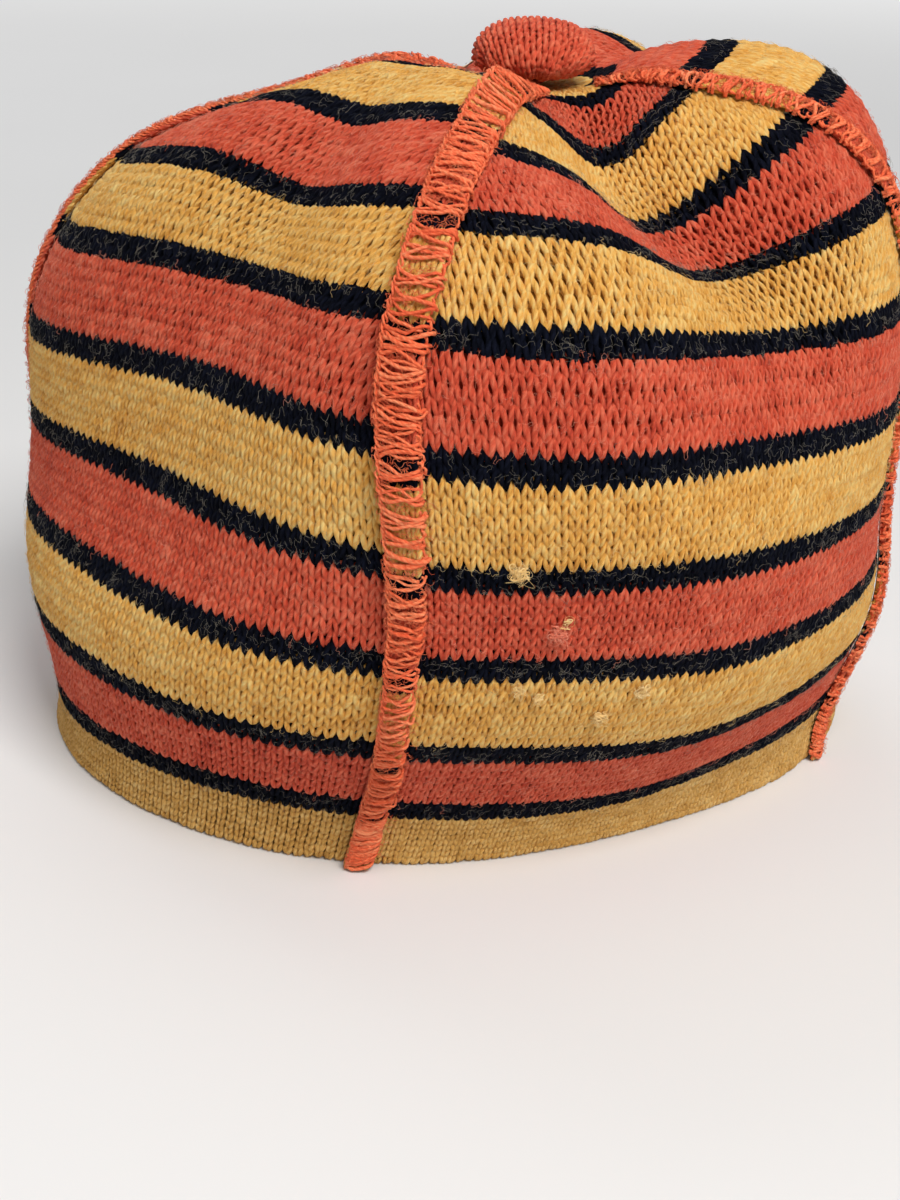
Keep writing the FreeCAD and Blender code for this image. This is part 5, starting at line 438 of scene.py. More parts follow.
def grid_row(course):
    return (course - RIM) / (COURSES[-1] - RIM) * (len(COURSES) - 1)


def normal(g, across, course):
    return bilinear(NORMALS[g], (across + 1) / 2 * (len(ACROSS) - 1), grid_row(course))


def cloth(g, across, course, depth):
    """Point at a depth under the outer face."""
    return skin(g, across, course) - normal(g, across, course) * np.asarray(depth)[..., None]


WALES = [62, 58, 56, 52]            # stitches across each gore
FULL = 34.0                         # courses below this keep every wale
STRIPE, NAVY_COURSES = 8, 2         # courses in a stripe, and how many start it in navy


def wales_at(g, course):
    share = np.interp(course, COURSES, WIDTH[g]) / np.interp(FULL, COURSES, WIDTH[g])
    return np.maximum(WALES[g] * np.where(course < FULL, 1.0, np.minimum(share, 1.0)), 0.6)


def yarn_of(course):
    if course < 0:
        return "rib"
    stripe, row = divmod(int(course), STRIPE)
    if row < NAVY_COURSES:
        return "navy"
    return "orange" if stripe % 2 == 0 else "yellow"


# ---------------------------------------------------------------- mesh tools
def build(name, verts, faces, mats, slot, node=None, body="hat", index=None, attrs=None):
    mesh = bpy.data.meshes.new(name)
    verts = np.ascontiguousarray(verts, dtype=np.float32)
    faces = np.ascontiguousarray(faces, dtype=np.int32)
    mesh.vertices.add(len(verts))
    mesh.vertices.foreach_set("co", (verts * MM).astype(np.float32).ravel())
    mesh.loops.add(faces.size)
    mesh.loops.foreach_set("vertex_index", faces.ravel())
    mesh.polygons.add(len(faces))
    mesh.polygons.foreach_set("loop_start", np.arange(0, faces.size, 4, dtype=np.int32))
    for mat in mats:
        mesh.materials.append(mat)
    if index is not None:
        mesh.polygons.foreach_set("material_index", np.asarray(index, dtype=np.int32))
    mesh.update(calc_edges=True)
    mesh.validate()
    mesh.shade_smooth()
    for key, val in (attrs or {}).items():
        val = np.asarray(val, dtype=np.float32)
        kind, field = ("FLOAT_VECTOR", "vector") if val.ndim == 2 else ("FLOAT", "value")
        mesh.attributes.new(key, kind, "POINT").data.foreach_set(field, val.ravel())
    ob = bpy.data.objects.new(name, mesh)
    bpy.context.scene.collection.objects.link(ob)
    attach(ob, body)
    if node:
        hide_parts(node)


def ring_faces(rings, points):
    """Quads between successive closed rings."""
    grid = np.arange(rings * points).reshape(rings, points)
    after = np.roll(grid, -1, 1)
    return np.stack([grid[:-1], after[:-1], after[1:], grid[1:]], -1).reshape(-1, 4)


class Strands:
    """Yarn tubes gathered into one mesh."""

    def __init__(self):
        self.parts, self.count = [], 0

    def lay(self, path, normals, radius, tone, sides=6):
        """Add one line (points x 3) or many (lines x points x 3)."""
        if path.ndim == 2:
            path, normals = path[None], normals[None]
        lines = path.shape[:2]
        rings = lines + (sides,)
        radius = np.broadcast_to(np.asarray(radius, float), lines)
        side = unit(np.cross(unit(np.gradient(path, axis=1)), normals))
        up = unit(np.cross(side, unit(np.gradient(path, axis=1))))
        lengths = np.linalg.norm(np.diff(path, axis=1), axis=-1)
        along = np.concatenate([np.zeros((lines[0], 1)), np.cumsum(lengths, 1)], 1)
        angle = np.arange(sides) * 2 * np.pi / sides
        cos, sin = np.cos(angle), np.sin(angle)
        verts = path[:, :, None] + (side[:, :, None] * cos[:, None]
                                    + up[:, :, None] * sin[:, None]) * radius[:, :, None, None]
        grid = np.arange(verts.size // 3).reshape(rings) + self.count
        after = np.roll(grid, -1, axis=2)
        faces = np.stack([grid[:, :-1], grid[:, 1:], after[:, 1:], after[:, :-1]], -1)
        yarn = np.stack([np.broadcast_to(v, rings) for v in (along[:, :, None], cos, sin)], -1)
        tone = np.broadcast_to(np.broadcast_to(tone, lines)[:, :, None], rings)
        self.parts.append((verts.reshape(-1, 3), faces.reshape(-1, 4),
                           yarn.reshape(-1, 3), tone.reshape(-1)))
        self.count += grid.size

    def make(self, name, mat, slot, **told):
        verts, faces, yarn, tone = (np.concatenate(part) for part in zip(*self.parts))
        build(name, verts, faces, [mat], slot, attrs={"yarn": yarn, "rnd": tone}, **told)


# ----------------------------------------------------------------- materials
class Shader:
    """Node material holding an output and a principled surface."""

    def __init__(self, name):
        self.mat = bpy.data.materials.new(name)
        self.mat.use_nodes = True
        self.tree = self.mat.node_tree
        self.tree.nodes.clear()
        out = self.add("OutputMaterial")
        self.surface = self.add("BsdfPrincipled")
        self.feed(out, {"Surface": self.surface.outputs[0]})

    def feed(self, node, inputs):
        """Link sockets and set plain values."""
        for key, value in inputs.items():
            if isinstance(value, bpy.types.NodeSocket):
                self.tree.links.new(value, node.inputs[key])
            else:
                node.inputs[key].default_value = value

    def add(self, kind, inputs={}, **settings):
        node = self.tree.nodes.new("ShaderNode" + kind)
        for key, value in settings.items():
            setattr(node, key, value)
        self.feed(node, inputs)
        return node

    def math(self, op, a, b=None):
        inputs = {0: a} if b is None else {0: a, 1: b}
        return self.add("Math", inputs, operation=op).outputs[0]

    def noise(self, scale, vector, detail, **more):
        inputs = {"Scale": scale, "Vector": vector, "Detail": detail, **more}
        return self.add("TexNoise", inputs).outputs["Fac"]

    def ramp(self, factor, low, high, middle=None):
        """Colour ramp; each stop is (position, rgb)."""
        node = self.add("ValToRGB", {"Fac": factor})
        stops = node.color_ramp.elements
        for stop, (place, rgb) in zip(stops, (low, high)):
            stop.position = place
            stop.color = (*rgb, 1)
        if middle:
            stops.new(middle[0]).color = (*middle[1], 1)
        return node.outputs["Color"]

    def bump(self, height, strength, distance):
        inputs = {"Strength": strength, "Distance": distance, "Height": height}
        self.feed(self.surface, {"Normal": self.add("Bump", inputs).outputs[0]})


def wool(name, base, dark, light, lay=2.2, ply=1.0, bump=1.0, sheen=0.05, spec=0.3):
    """Plied yarn: twist of pitch lay, fibre streaks, heathered colour, painted shade in the grooves between
    plies with painted highlight on their crowns, and a soft sheen.
    """
    s = Shader(name)
    math_ = s.math
    yarn = s.add("Attribute", attribute_name="yarn").outputs["Vector"]
    along, cos, sin = s.add("SeparateXYZ", {0: yarn}).outputs
    angle = math_("ARCTAN2", sin, cos)
    turn = math_("MULTIPLY", along, 2 * math.pi / lay)
    phase = math_("ADD", angle, math_("MULTIPLY", turn, 0.5))
    plies = math_("SINE", math_("MULTIPLY", phase, 2.0))
    twisted = s.add("CombineXYZ", {
        "X": math_("MULTIPLY", along, 0.45),
        "Y": math_("MULTIPLY", math_("COSINE", phase), 2.4),
        "Z": math_("MULTIPLY", math_("SINE", phase), 2.4)}).outputs[0]
    streak = s.noise(2.2, twisted, detail=4.0, Roughness=0.65)
    place = s.add("TexCoord").outputs["Object"]
    heather = s.noise(260.0, place, detail=3.0)
    broad = s.noise(22.0, place, detail=2.0)
    fine = s.noise(2600.0, place, detail=2.0)
    tone = s.add("Attribute", attribute_name="rnd").outputs["Fac"]

    # Colour mix: fibre streaks, heather, per-stitch tone and broad mottle are the yarn's own colour; the
    # ply term is painted shade in the ply grooves and painted highlight on the ply crowns.
    heather_and_ply_shade = math_("ADD", math_("MULTIPLY", streak, 1.35), math_("MULTIPLY", heather, 0.35))
    for source, weight in ((tone, 0.35), (broad, 0.30), (plies, 0.13 * ply)):
        heather_and_ply_shade = math_("ADD", heather_and_ply_shade, math_("MULTIPLY", source, weight))
    factor = math_("MULTIPLY", math_("SUBTRACT", heather_and_ply_shade, 0.58), 0.95)
    s.feed(s.surface, {
        "Base Color": s.ramp(factor, (0.12, dark), (0.92, light), middle=(0.5, base)),
        "Roughness": math_("ADD", math_("MULTIPLY", heather, 0.2), 0.58),
        "Specular IOR Level": spec,
        "Sheen Weight": sheen,
        "Sheen Roughness": 0.55,
        "Sheen Tint": (*(min(1.0, 0.45 + 0.6 * v) for v in light), 1)})
    relief = math_("ADD", math_("MULTIPLY", plies, 0.55 * ply), math_("MULTIPLY", streak, 1.5))
    relief = math_("ADD", relief, math_("MULTIPLY", fine, 0.7))
    s.bump(relief, strength=bump, distance=0.00022)
    return s.mat


def felt(name, rgb):
    s = Shader(name)
    mottle = s.noise(900, s.add("TexCoord").outputs["Object"], detail=4)
    s.feed(s.surface, {
        "Base Color": s.ramp(mottle, (0.3, [v * 0.45 for v in rgb]), (0.75, rgb)),
        "Roughness": 0.95, "Specular IOR Level": 0.1})
    s.bump(mottle, strength=0.7, distance=0.0003)
    return s.mat


WOOL = {
    "yellow": wool("yellow_wool", base=(0.95, 0.475, 0.085), dark=(0.66, 0.245, 0.024),
                   light=(1.0, 0.74, 0.28)),
    "orange": wool("orange_wool", base=(0.76, 0.086, 0.032), dark=(0.42, 0.024, 0.008),
                   light=(0.92, 0.22, 0.115)),
    "navy": wool("navy_wool", base=(0.0026, 0.0034, 0.0075), dark=(0.001, 0.0012, 0.003),
                 light=(0.008, 0.010, 0.022), sheen=0.0, spec=0.04),
    "rib": wool("rib_wool", base=(0.78, 0.42, 0.095), dark=(0.50, 0.22, 0.03),
                light=(0.90, 0.60, 0.22))}
THREAD = wool("seam_wool", base=(0.89, 0.145, 0.048), dark=(0.66, 0.068, 0.019),
              light=(0.98, 0.34, 0.155), lay=1.1, ply=0.8, bump=0.5, sheen=0.03)
BUTTON = wool("button_wool", base=(0.82, 0.098, 0.038), dark=(0.50, 0.032, 0.011),
              light=(0.94, 0.25, 0.13), sheen=0.04)
# Felt colours for the sheets behind the loops: darker than their yarns, painted shade in the gaps between
# stitches (navy matches its yarn).
SHADE_FELT = {"yellow": felt("yellow_painted_shade_felt", (0.52, 0.225, 0.038)),
        "orange": felt("orange_painted_shade_felt", (0.34, 0.032, 0.012)),
        "navy": felt("navy_felting", (0.004, 0.0045, 0.008)),
        "rib": felt("rib_painted_shade_felt", (0.40, 0.20, 0.045))}
SHADE_FELTS = list(SHADE_FELT.values())
YARNS = list(WOOL)
SLOTS = {"yellow": "yellow_yarn", "orange": "orange_yarn", "navy": "navy_yarn",
         "rib": "rib_yellow_yarn"}


def shade_felt_index(courses):
    """Painted-shade felt slot of each band between successive courses."""
    return np.array([YARNS.index(yarn_of(v)) for v in courses])


# ------------------------------------------------------------- knitted gores
# sway and squeeze shape a loop sideways, tall is its half height in courses, bow and
# sink bend it in depth about a mean depth, radius is the yarn's.
Stitch = namedtuple("Stitch", "sway tall bow depth radius squeeze sink", defaults=(1.0, 0.0))
STITCH_POINTS = 12
RIB_ROWS = 8
RIB_PITCH = -RIM / RIB_ROWS
BODY = Stitch(sway=0.235, tall=0.95, bow=0.46, depth=0.90, radius=1.0)
RIB = Stitch(sway=0.20, tall=0.80 * RIB_PITCH, bow=0.30, depth=0.72, radius=0.50,
             squeeze=0.80, sink=0.75)


def stitch_row(course, count, stitch, seed):
    """One course of slightly uneven loops: wales from the centre, course, depth, radius, tone."""
    draws = np.random.default_rng(seed)
    turn = np.arange(count * STITCH_POINTS + 1) * 2 * np.pi / STITCH_POINTS
    wale = turn / (2 * np.pi)
    middle = np.floor(wale - 1e-9) + 0.5
    x = middle + (wale + stitch.sway * np.sin(2 * turn) - middle) * stitch.squeeze
    y = -stitch.tall * np.cos(turn)
    depth = (stitch.depth + stitch.bow * np.cos(2 * turn)
             + stitch.sink * (0.5 + 0.5 * np.cos(turn)) ** 3)
    wobble = draws.normal(0, 1, (4, count + 2))
    k = np.minimum(np.floor(wale).astype(int), count)
    w = ease(wale - k)
    side, rise, sink, girth = wobble[:, k] * (1 - w) + wobble[:, np.minimum(k + 1, count + 1)] * w
    radius = stitch.radius * (1 + 0.07 * girth + 0.03 * draws.normal(0, 1, len(turn)))
    radius = radius * (0.86 + 0.20 * np.sin(turn) ** 2)     # fuller legs, thinner bends
    return (-count / 2.0 + x + 0.035 * side, course + y + 0.05 * rise, depth + 0.05 * sink,
            radius, 0.5 + 0.22 * girth)


def gauge_radius(g, wales, course):
    """Yarn radius that fills the stitches of a course."""
    count = wales_at(g, course)
    across = np.clip(2 * wales / count, -0.98, 0.98)

    def gap(across0, course0, across1, course1):
        return np.linalg.norm(skin(g, across1, course1) - skin(g, across0, course0), axis=-1)

    tall = gap(across, np.clip(course - 0.5, RIM, TOP), across, np.clip(course + 0.5, RIM, TOP))
    wide = gap(np.clip(across - 0.02, -1, 1), course, np.clip(across + 0.02, -1, 1), course)
    wide = wide / 0.04 * 2 / count
    return np.clip(0.218 * np.sqrt(tall * wide * 0.92), 0.22, 0.56)


def knit(strands, g, mid, count, stitch, seed):
    wales, course, depth, radius, tone = stitch_row(mid, count, stitch, seed)
    if stitch is BODY:
        radius = radius * gauge_radius(g, wales, mid)
    across = np.clip(2 * wales / wales_at(g, course), -0.999, 0.999)
    course = np.clip(course, RIM + 0.02, TOP - 0.3)
    strands.lay(cloth(g, across, course, depth), normal(g, across, course), radius, tone)


def knit_gore(g, gore):
    bags = {yarn: Strands() for yarn in YARNS}
    for c in range(80):
        mid = c + 0.5
        x, y, _ = skin(g, 0.0, mid)
        count = int(round(float(wales_at(g, mid))))
        if math.hypot(x - APEX[0], y - APEX[1]) < 3.2 or count < 2:
            continue
        knit(bags[yarn_of(c)], g, mid, count, BODY, 1000 * g + c)
    for q in range(RIB_ROWS):
        knit(bags["rib"], g, RIM + (q + 0.5) * RIB_PITCH, WALES[g], RIB, 9000 + 100 * g + q)
    for yarn, bag in bags.items():
        node = "rib_hem_" if yarn == "rib" else yarn + "_courses_"
        bag.make("knit_%s_%s" % (yarn, gore), WOOL[yarn], SLOTS[yarn], node=node + gore)


def fabric_heart(g, gore):
    """Thin sheet between the faces of the loops, in darker felt colours: painted shade showing through the
    gaps between stitches.
    """
    across = np.linspace(-1, 1, 57)
    course = np.concatenate([np.linspace(RIM + 0.05, 0, 6)[:-1], np.linspace(0, 78.6, 158)])
    shape = (len(across), len(course))
    verts = [cloth(g, across[:, None], course[None, :], np.full(shape, depth)).reshape(-1, 3)
             for depth in (1.30, 1.52)]
    grid = np.arange(across.size * course.size).reshape(shape)
    outer = np.stack([grid[:-1, :-1], grid[1:, :-1], grid[1:, 1:], grid[:-1, 1:]], -1)
    outer = outer.reshape(-1, 4)
    faces = [outer, outer[:, ::-1] + grid.size]
    for line, turn in ((grid[:, 0], 1), (grid[:, -1], -1), (grid[0], -1), (grid[-1], 1)):
        edge = np.stack([line[:-1], line[:-1] + grid.size, line[1:] + grid.size, line[1:]], -1)
        faces.append(edge[:, ::turn])
    bands = shade_felt_index((course[:-1] + course[1:]) / 2)
    sheet = np.tile(bands, len(across) - 1)
    rim_edge = np.full(len(across) - 1, YARNS.index("rib"))
    top_edge = np.full(len(across) - 1, YARNS.index("yellow"))
    index = np.concatenate([sheet, sheet, rim_edge, top_edge, bands, bands])
    build("fabric_heart_" + gore, np.concatenate(verts), np.concatenate(faces), SHADE_FELTS,
          "yellow_yarn", index=index)


for g, gore in enumerate(GORES):
    knit_gore(g, gore)
    fabric_heart(g, gore)

# --------------------------------------------------------- overlocked seams
REACH, REACH_STEPS = 10, 20         # width sampled beside a seam, and its steps
STRIPE_SHIFT = 0.6                  # courses the margin's stripes sit lower
MARGIN_STITCH = Stitch(sway=0.22, tall=0.9, bow=0.34, depth=0.62, radius=0.44)
MARGIN_WALES = 4
# seam, gore it lies on, side (1 from across = -1, -1 from across = 1), share of the full
# width, share of that kept near the apex, distance over which it widens
MARGINS = [("front", 0, 1, 1.0, 0.95, 10.0), ("right", 0, -1, 0.62, 0.5, 26.0),
           ("back", 2, 1, 1.0, 0.8, 16.0), ("left", 2, -1, 0.85, 0.8, 16.0)]


class Margin:
    """Folded margin, placed by distance from the seam, course and lift."""

    def __init__(self, g, side, share, near, spread):
        across = np.linspace(-1, 0.6, 81) * side
        steps = np.linalg.norm(np.diff(skin(g, across[:, None], COURSES[None, :]), axis=0), axis=-1)
        reach = np.concatenate([np.zeros((1, len(COURSES))), np.cumsum(steps, 0)], 0)
        out = np.linspace(0, REACH, REACH_STEPS + 1)
        across = np.stack([np.interp(out, reach[:, k], across) for k in range(len(COURSES))], 1)
        self.points = skin(g, across, COURSES)
        self.normals = normal(g, across, np.broadcast_to(COURSES, across.shape))
        seam = self.points[0]
        from_apex = np.hypot(seam[:, 0] - APEX[0], seam[:, 1] - APEX[1])
        steps = np.linalg.norm(np.diff(seam, axis=0), axis=-1)
        self.lengths = np.concatenate([[0], np.cumsum(steps)])
        self.last = COURSES[np.argmax(from_apex < 12.3)]
        self.tops = 0.18 + 2.2 * (0.32 + 0.68 * ease((from_apex - 12.0) / 12.0))
        self.tops = self.tops * (1.0 if share > 0.9 else 0.75)
        self.widths = 7.5 * share * (near + (1 - near) * ease((from_apex - 14.0) / spread))
        self.widths = self.widths * (0.68 + 0.32 * ease((COURSES - 12.0) / 26.0))
        self.start, self.end = np.interp([RIM + 0.1, self.last], COURSES, self.lengths)
        self.count = int((self.end - self.start) / 0.30)
        self.line = np.linspace(self.start + 0.1, self.end, self.count)

    def at(self, out, course, lift):
        y = np.clip(grid_row(np.asarray(course)), 0, len(COURSES) - 1.01)
        x, y = np.broadcast_arrays(np.asarray(out) / REACH * REACH_STEPS, y)
        normals = bilinear(self.normals, x, y)
        return bilinear(self.points, x, y) + normals * np.asarray(lift)[..., None], normals

    def top(self, course):
        return np.interp(course, COURSES, self.tops)

    def width(self, course):
        return np.interp(course, COURSES, self.widths)

    def course(self, length):
        return np.interp(length, self.lengths, COURSES)


def smooth_noise(draws, count, span):
    """Random values that wander smoothly along count points."""
    knots = max(3, int(count / span) + 2)
    v = draws.normal(0, 1, knots)
    x = np.linspace(0, knots - 1.001, count)
    i = x.astype(int)
    w = ease(x - i)
    return v[i] * (1 - w) + v[i + 1] * w


def walk(heading, length):
    """Steps across and along of fibres that follow their headings."""
    step = length / heading.shape[1]
    return np.cumsum(np.cos(heading), 1) * step, np.cumsum(np.sin(heading), 1) * step


def margin_heart(margin, seam, side, draws):
    """Rounded bar under the margin's loops, striped like the gore it lies on, in darker felt colours:
    painted shade in the gaps between the loops.
    """
    count, points = 420, 20
    course = margin.course(np.linspace(margin.start, margin.end, count))
    angle = np.arange(points) * 2 * np.pi / points
    x = np.sign(np.cos(angle)) * np.abs(np.cos(angle)) ** 0.55
    y = np.sign(np.sin(angle)) * np.abs(np.sin(angle)) ** 0.75
    uneven = 0.30 * smooth_noise(draws, count, 9.0) + 0.12 * smooth_noise(draws, count, 3.0)
    out = 0.2 + (margin.width(course) + uneven)[:, None] / 2 * (1 + x) * 0.95
    lift = 0.1 + (margin.top(course)[:, None] - 0.75 - 0.1) / 2 * (1 + y)
    verts, _ = margin.at(np.clip(out, 0, 9.6), course[:, None], lift)
    bands = shade_felt_index((course[:-1] + course[1:]) / 2 + STRIPE_SHIFT)
    build("margin_heart_" + seam, verts.reshape(-1, 3), ring_faces(count, points)[:, ::side],
          SHADE_FELTS, "folded_margin", node="seam_margin_" + seam, index=np.repeat(bands, points))


def margin_knit(margin, seam, number):
    bags = {yarn: Strands() for yarn in YARNS}

    def row(yarn, mid, stitch, seed):
        wales, course, depth, radius, tone = stitch_row(mid, MARGIN_WALES, stitch, seed)
        out = 0.3 + (wales + 2.0) / MARGIN_WALES * (margin.width(course) - 0.4)
        path, normals = margin.at(np.clip(out, 0.05, 9.5), np.clip(course, RIM + 0.05, margin.last),
                                  margin.top(course) - 0.30 - depth)
        bags[yarn].lay(path, normals, radius, tone)

    for c in range(int(margin.last) - 1):
        row(yarn_of(c), c + 0.5 - STRIPE_SHIFT, MARGIN_STITCH, 300 + 100 * number + c)
    for q in range(RIB_ROWS):
        row("rib", RIM + (q + 0.5) * RIB_PITCH, MARGIN_STITCH._replace(tall=RIB.tall),
            700 + 100 * number + q)
    for yarn, bag in bags.items():
        bag.make("margin_%s_%s" % (yarn, seam), WOOL[yarn], SLOTS[yarn])


def zigzag(bag, margin, draws):
    """Slack threads over the margin, then round its free edge, in two layers."""
    points = 17
    t = np.linspace(0, 1, points)
    face = np.clip(t / 0.86, 0, 1)
    edge = np.clip((t - 0.80) / 0.20, 0, 1)
    arch = np.sin(np.pi * face)
    for layer in range(2):
        place = margin.start + 0.3 + 0.5 * layer
        flip = layer
        while place < margin.end - 0.4:
            c = float(margin.course(place))
            width = float(margin.width(c)) + 0.3 * draws.normal()
            top = float(margin.top(c))
            rib = c < 0.4
            step = 1.0 if rib else (2.9 if yarn_of(c + STRIPE_SHIFT) == "orange" else 3.9)
            step *= 1 + 0.25 * draws.normal()
            slant, spread = (2.0, 0.3) if rib else (1.9 if flip % 2 else -1.7, 0.5)
            slant = (slant + spread * draws.normal()) * min(1.0, max(width, 2.0) / 8.0)
            out = 0.45 + 0.35 * draws.random() + (width - 0.5) * face
            droop = (0.35 + 0.35 * draws.random()) * arch * (-1 if draws.random() < 0.75 else 1)
            lift = top - 0.08 + (0.22 + 0.40 * draws.random()) * arch ** 0.8
            lift = lift - edge ** 1.5 * (top - 0.45)
            lift[0] -= 0.25
            length = place + slant * t + droop + 0.16 * smooth_noise(draws, points, 5.0)
            course = np.clip(margin.course(length), RIM + 0.02, margin.last)
            path, normals = margin.at(np.clip(out, 0.1, 9.6), course, lift)
            tone = 0.5 + 0.28 * draws.normal()
            radius = 0.31 * (0.75 + 0.5 * draws.random()) * (0.9 + 0.22 * draws.random(points))
            bag.lay(path, normals, radius, tone)
            place += max(step, 0.4) * 0.62 if rib else max(step, 0.45) * 0.5
            flip += 1


def edge_chain(bag, margin, draws):
    """Two strands twined along the free edge."""
    count = margin.count
    for phase in (0.0, np.pi):
        angle = 2 * np.pi * margin.line / 2.3 + phase + 0.8 * smooth_noise(draws, count, 9)
        course = margin.course(margin.line + 0.30 * np.sin(angle * 2))
        width = (margin.width(course) + 0.30 * smooth_noise(draws, count, 12)
                 + 0.12 * smooth_noise(draws, count, 4))
        path, normals = margin.at(np.clip(width - 0.15 + 0.30 * np.cos(angle), 0, 9.8), course,
                                  margin.top(course) * 0.62 + 0.34 * np.sin(angle))
        bag.lay(path, normals, 0.23 * (1 + 0.16 * draws.normal(0, 1, count)), 0.5)


def margin_fuzz(bag, margin, draws):
    count = int((margin.end - margin.start) * 9.0)
    column = (count, 1)
    t = np.linspace(-0.5, 0.5, 7)[None, :]
    place = draws.uniform(margin.start + 1, margin.end - 0.5, column)
    width = margin.width(margin.course(place))
    heading = draws.normal(0, 0.7, column) + np.pi * (draws.random(column) < 0.5)
    heading = (heading + draws.normal(0, 1.6, column) * t
               + 0.9 * np.sin(t * 8 + draws.uniform(0, 6, column)))
    across, along = walk(heading, draws.uniform(1.2, 4.2, column))
    out = np.clip(draws.random(column) * width + across, 0.05, 9.6)
    course = np.clip(margin.course(place + along), RIM + 0.1, margin.last)
    top = margin.top(course)
    lift = top + 0.1 + draws.uniform(0.1, 0.9, column) * np.sin(np.pi * (t + 0.5))
    lift = np.where(out > width, np.minimum(lift, top * 0.7 + 0.3), lift)
    path, normals = margin.at(out, course, lift)
    bag.lay(path, normals, 0.045, draws.random(column), sides=3)


def needle_thread(bag, margin, draws):
    """Three strands twined along the foot of the margin."""
    count = margin.count
    course = margin.course(margin.line)
    for phase in (0.0, 2.1, 4.2):
        angle = 2 * np.pi * margin.line / 2.7 + phase + 0.6 * smooth_noise(draws, count, 9)
        out = 0.62 + 0.16 * smooth_noise(draws, count, 14) + 0.30 * np.cos(angle)
        path, normals = margin.at(out, course, margin.top(course) - 0.22 + 0.28 * np.sin(angle))
        bag.lay(path, normals, 0.21 * (1 + 0.14 * draws.normal(0, 1, count)), 0.6)


for number, (seam, g, side, share, near, spread) in enumerate(MARGINS):
    margin = Margin(g, side, share, near, spread)
    draws = np.random.default_rng(40 + number)
    margin_heart(margin, seam, side, draws)
    margin_knit(margin, seam, number)
    bag = Strands()
    for part in (zigzag, edge_chain, margin_fuzz):
        part(bag, margin, draws)
    bag.make("overlock_loopers_" + seam, THREAD, "seam_thread", node="looper_threads_" + seam)
    bag = Strands()
    needle_thread(bag, margin, draws)
    bag.make("overlock_needle_" + seam, THREAD, "seam_thread", node="needle_thread_" + seam)

# -------------------------------------------------------------------- button
LOW, HIGH = [np.array(v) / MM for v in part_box("button_cover")]
CENTRE = (LOW + HIGH) / 2
WALE_ANGLE = 0.2194                 # turn of the courses over the button, radians
WALE_WIDTH, COURSE_HEIGHT = 2.5, 1.5
BUTTON_STITCH = Stitch(sway=0.19, tall=0.98, bow=0.42, depth=0.85, radius=0.47)


def button_profile():
    """Radius and z from the top centre, over the shoulder, to the underside."""
    angle = np.linspace(0, 1, 200) * np.pi
    power = np.where(angle < np.pi / 2, 0.74, 0.55)
    cos = np.cos(angle)
    radius = np.abs(np.sin(angle)) ** power * ((HIGH[0] - LOW[0]) / 2 - 0.1)
    rise = np.where(cos > 0, np.abs(cos) ** 0.9 * (HIGH[2] - LOW[2] - 3.3), cos * 3.8)
    return np.stack([radius, LOW[2] + (4.0 + rise)], -1)


PROFILE = button_profile()
PROFILE_LENGTH = np.concatenate([[0], np.cumsum(np.linalg.norm(np.diff(PROFILE, axis=0), axis=-1))])


def profile_at(reach):
    return [np.interp(reach, PROFILE_LENGTH, PROFILE[:, k]) for k in range(2)]


def button_at(x, y, depth):
    """Wrap flat x, y over the button, with gathers near the underside."""
    reach = np.hypot(x, y)
    angle = np.arctan2(y, x)
    radius, z = profile_at(reach)
    after, before = profile_at(reach + 0.3), profile_at(np.maximum(reach - 0.3, 0))
    dr, dz = after[0] - before[0], after[1] - before[1]
    length = np.hypot(dr, dz) + 1e-9
    nr, nz = -dz / length, dr / length
    gather = ease((reach - 11) / 5.0) * 0.28 * np.cos(angle * 17 + 0.6 * np.sin(angle * 3))
    depth = depth - gather
    radius = radius - depth * nr
    cos, sin = np.cos(angle), np.sin(angle)
    return (np.stack([CENTRE[0] + radius * cos, CENTRE[1] + radius * sin, z - depth * nz], -1),
            np.stack([nr * cos, nr * sin, nz], -1))


def button_knit():
    bag = Strands()
    cos, sin = math.cos(WALE_ANGLE), math.sin(WALE_ANGLE)
    reach = PROFILE_LENGTH[-1] - 3.2
    for q in range(-20, 21):
        middle = q * COURSE_HEIGHT
        if abs(middle) > reach - 1:
            continue
        count = int(2 * math.sqrt(reach ** 2 - middle ** 2) / WALE_WIDTH)
        if count < 3:
            continue
        wales, course, depth, radius, tone = stitch_row(0.0, count, BUTTON_STITCH, 5000 + q)
        x = wales * WALE_WIDTH
        y = middle + course * COURSE_HEIGHT
        path, normals = button_at(x * cos - y * sin, x * sin + y * cos, depth)
        bag.lay(path, normals, radius, tone)
    bag.make("button_knit", BUTTON, "button_yarn", node="button_cover", body="button")


def button_heart():
    rings, points = 60, 96
    reach = np.linspace(0.02, PROFILE_LENGTH[-1] - 2.4, rings)[:, None]
    angle = np.arange(points) * 2 * np.pi / points
    verts, _ = button_at(reach * np.cos(angle), reach * np.sin(angle), 1.0)
    # Sheet under the button's loops in a darker red than its yarn: painted shade in the gaps between
    # stitches.
    build("button_heart", verts.reshape(-1, 3), ring_faces(rings, points),
          [felt("button_painted_shade_felt", (0.46, 0.06, 0.022))], "button_yarn", body="button")


button_knit()
button_heart()


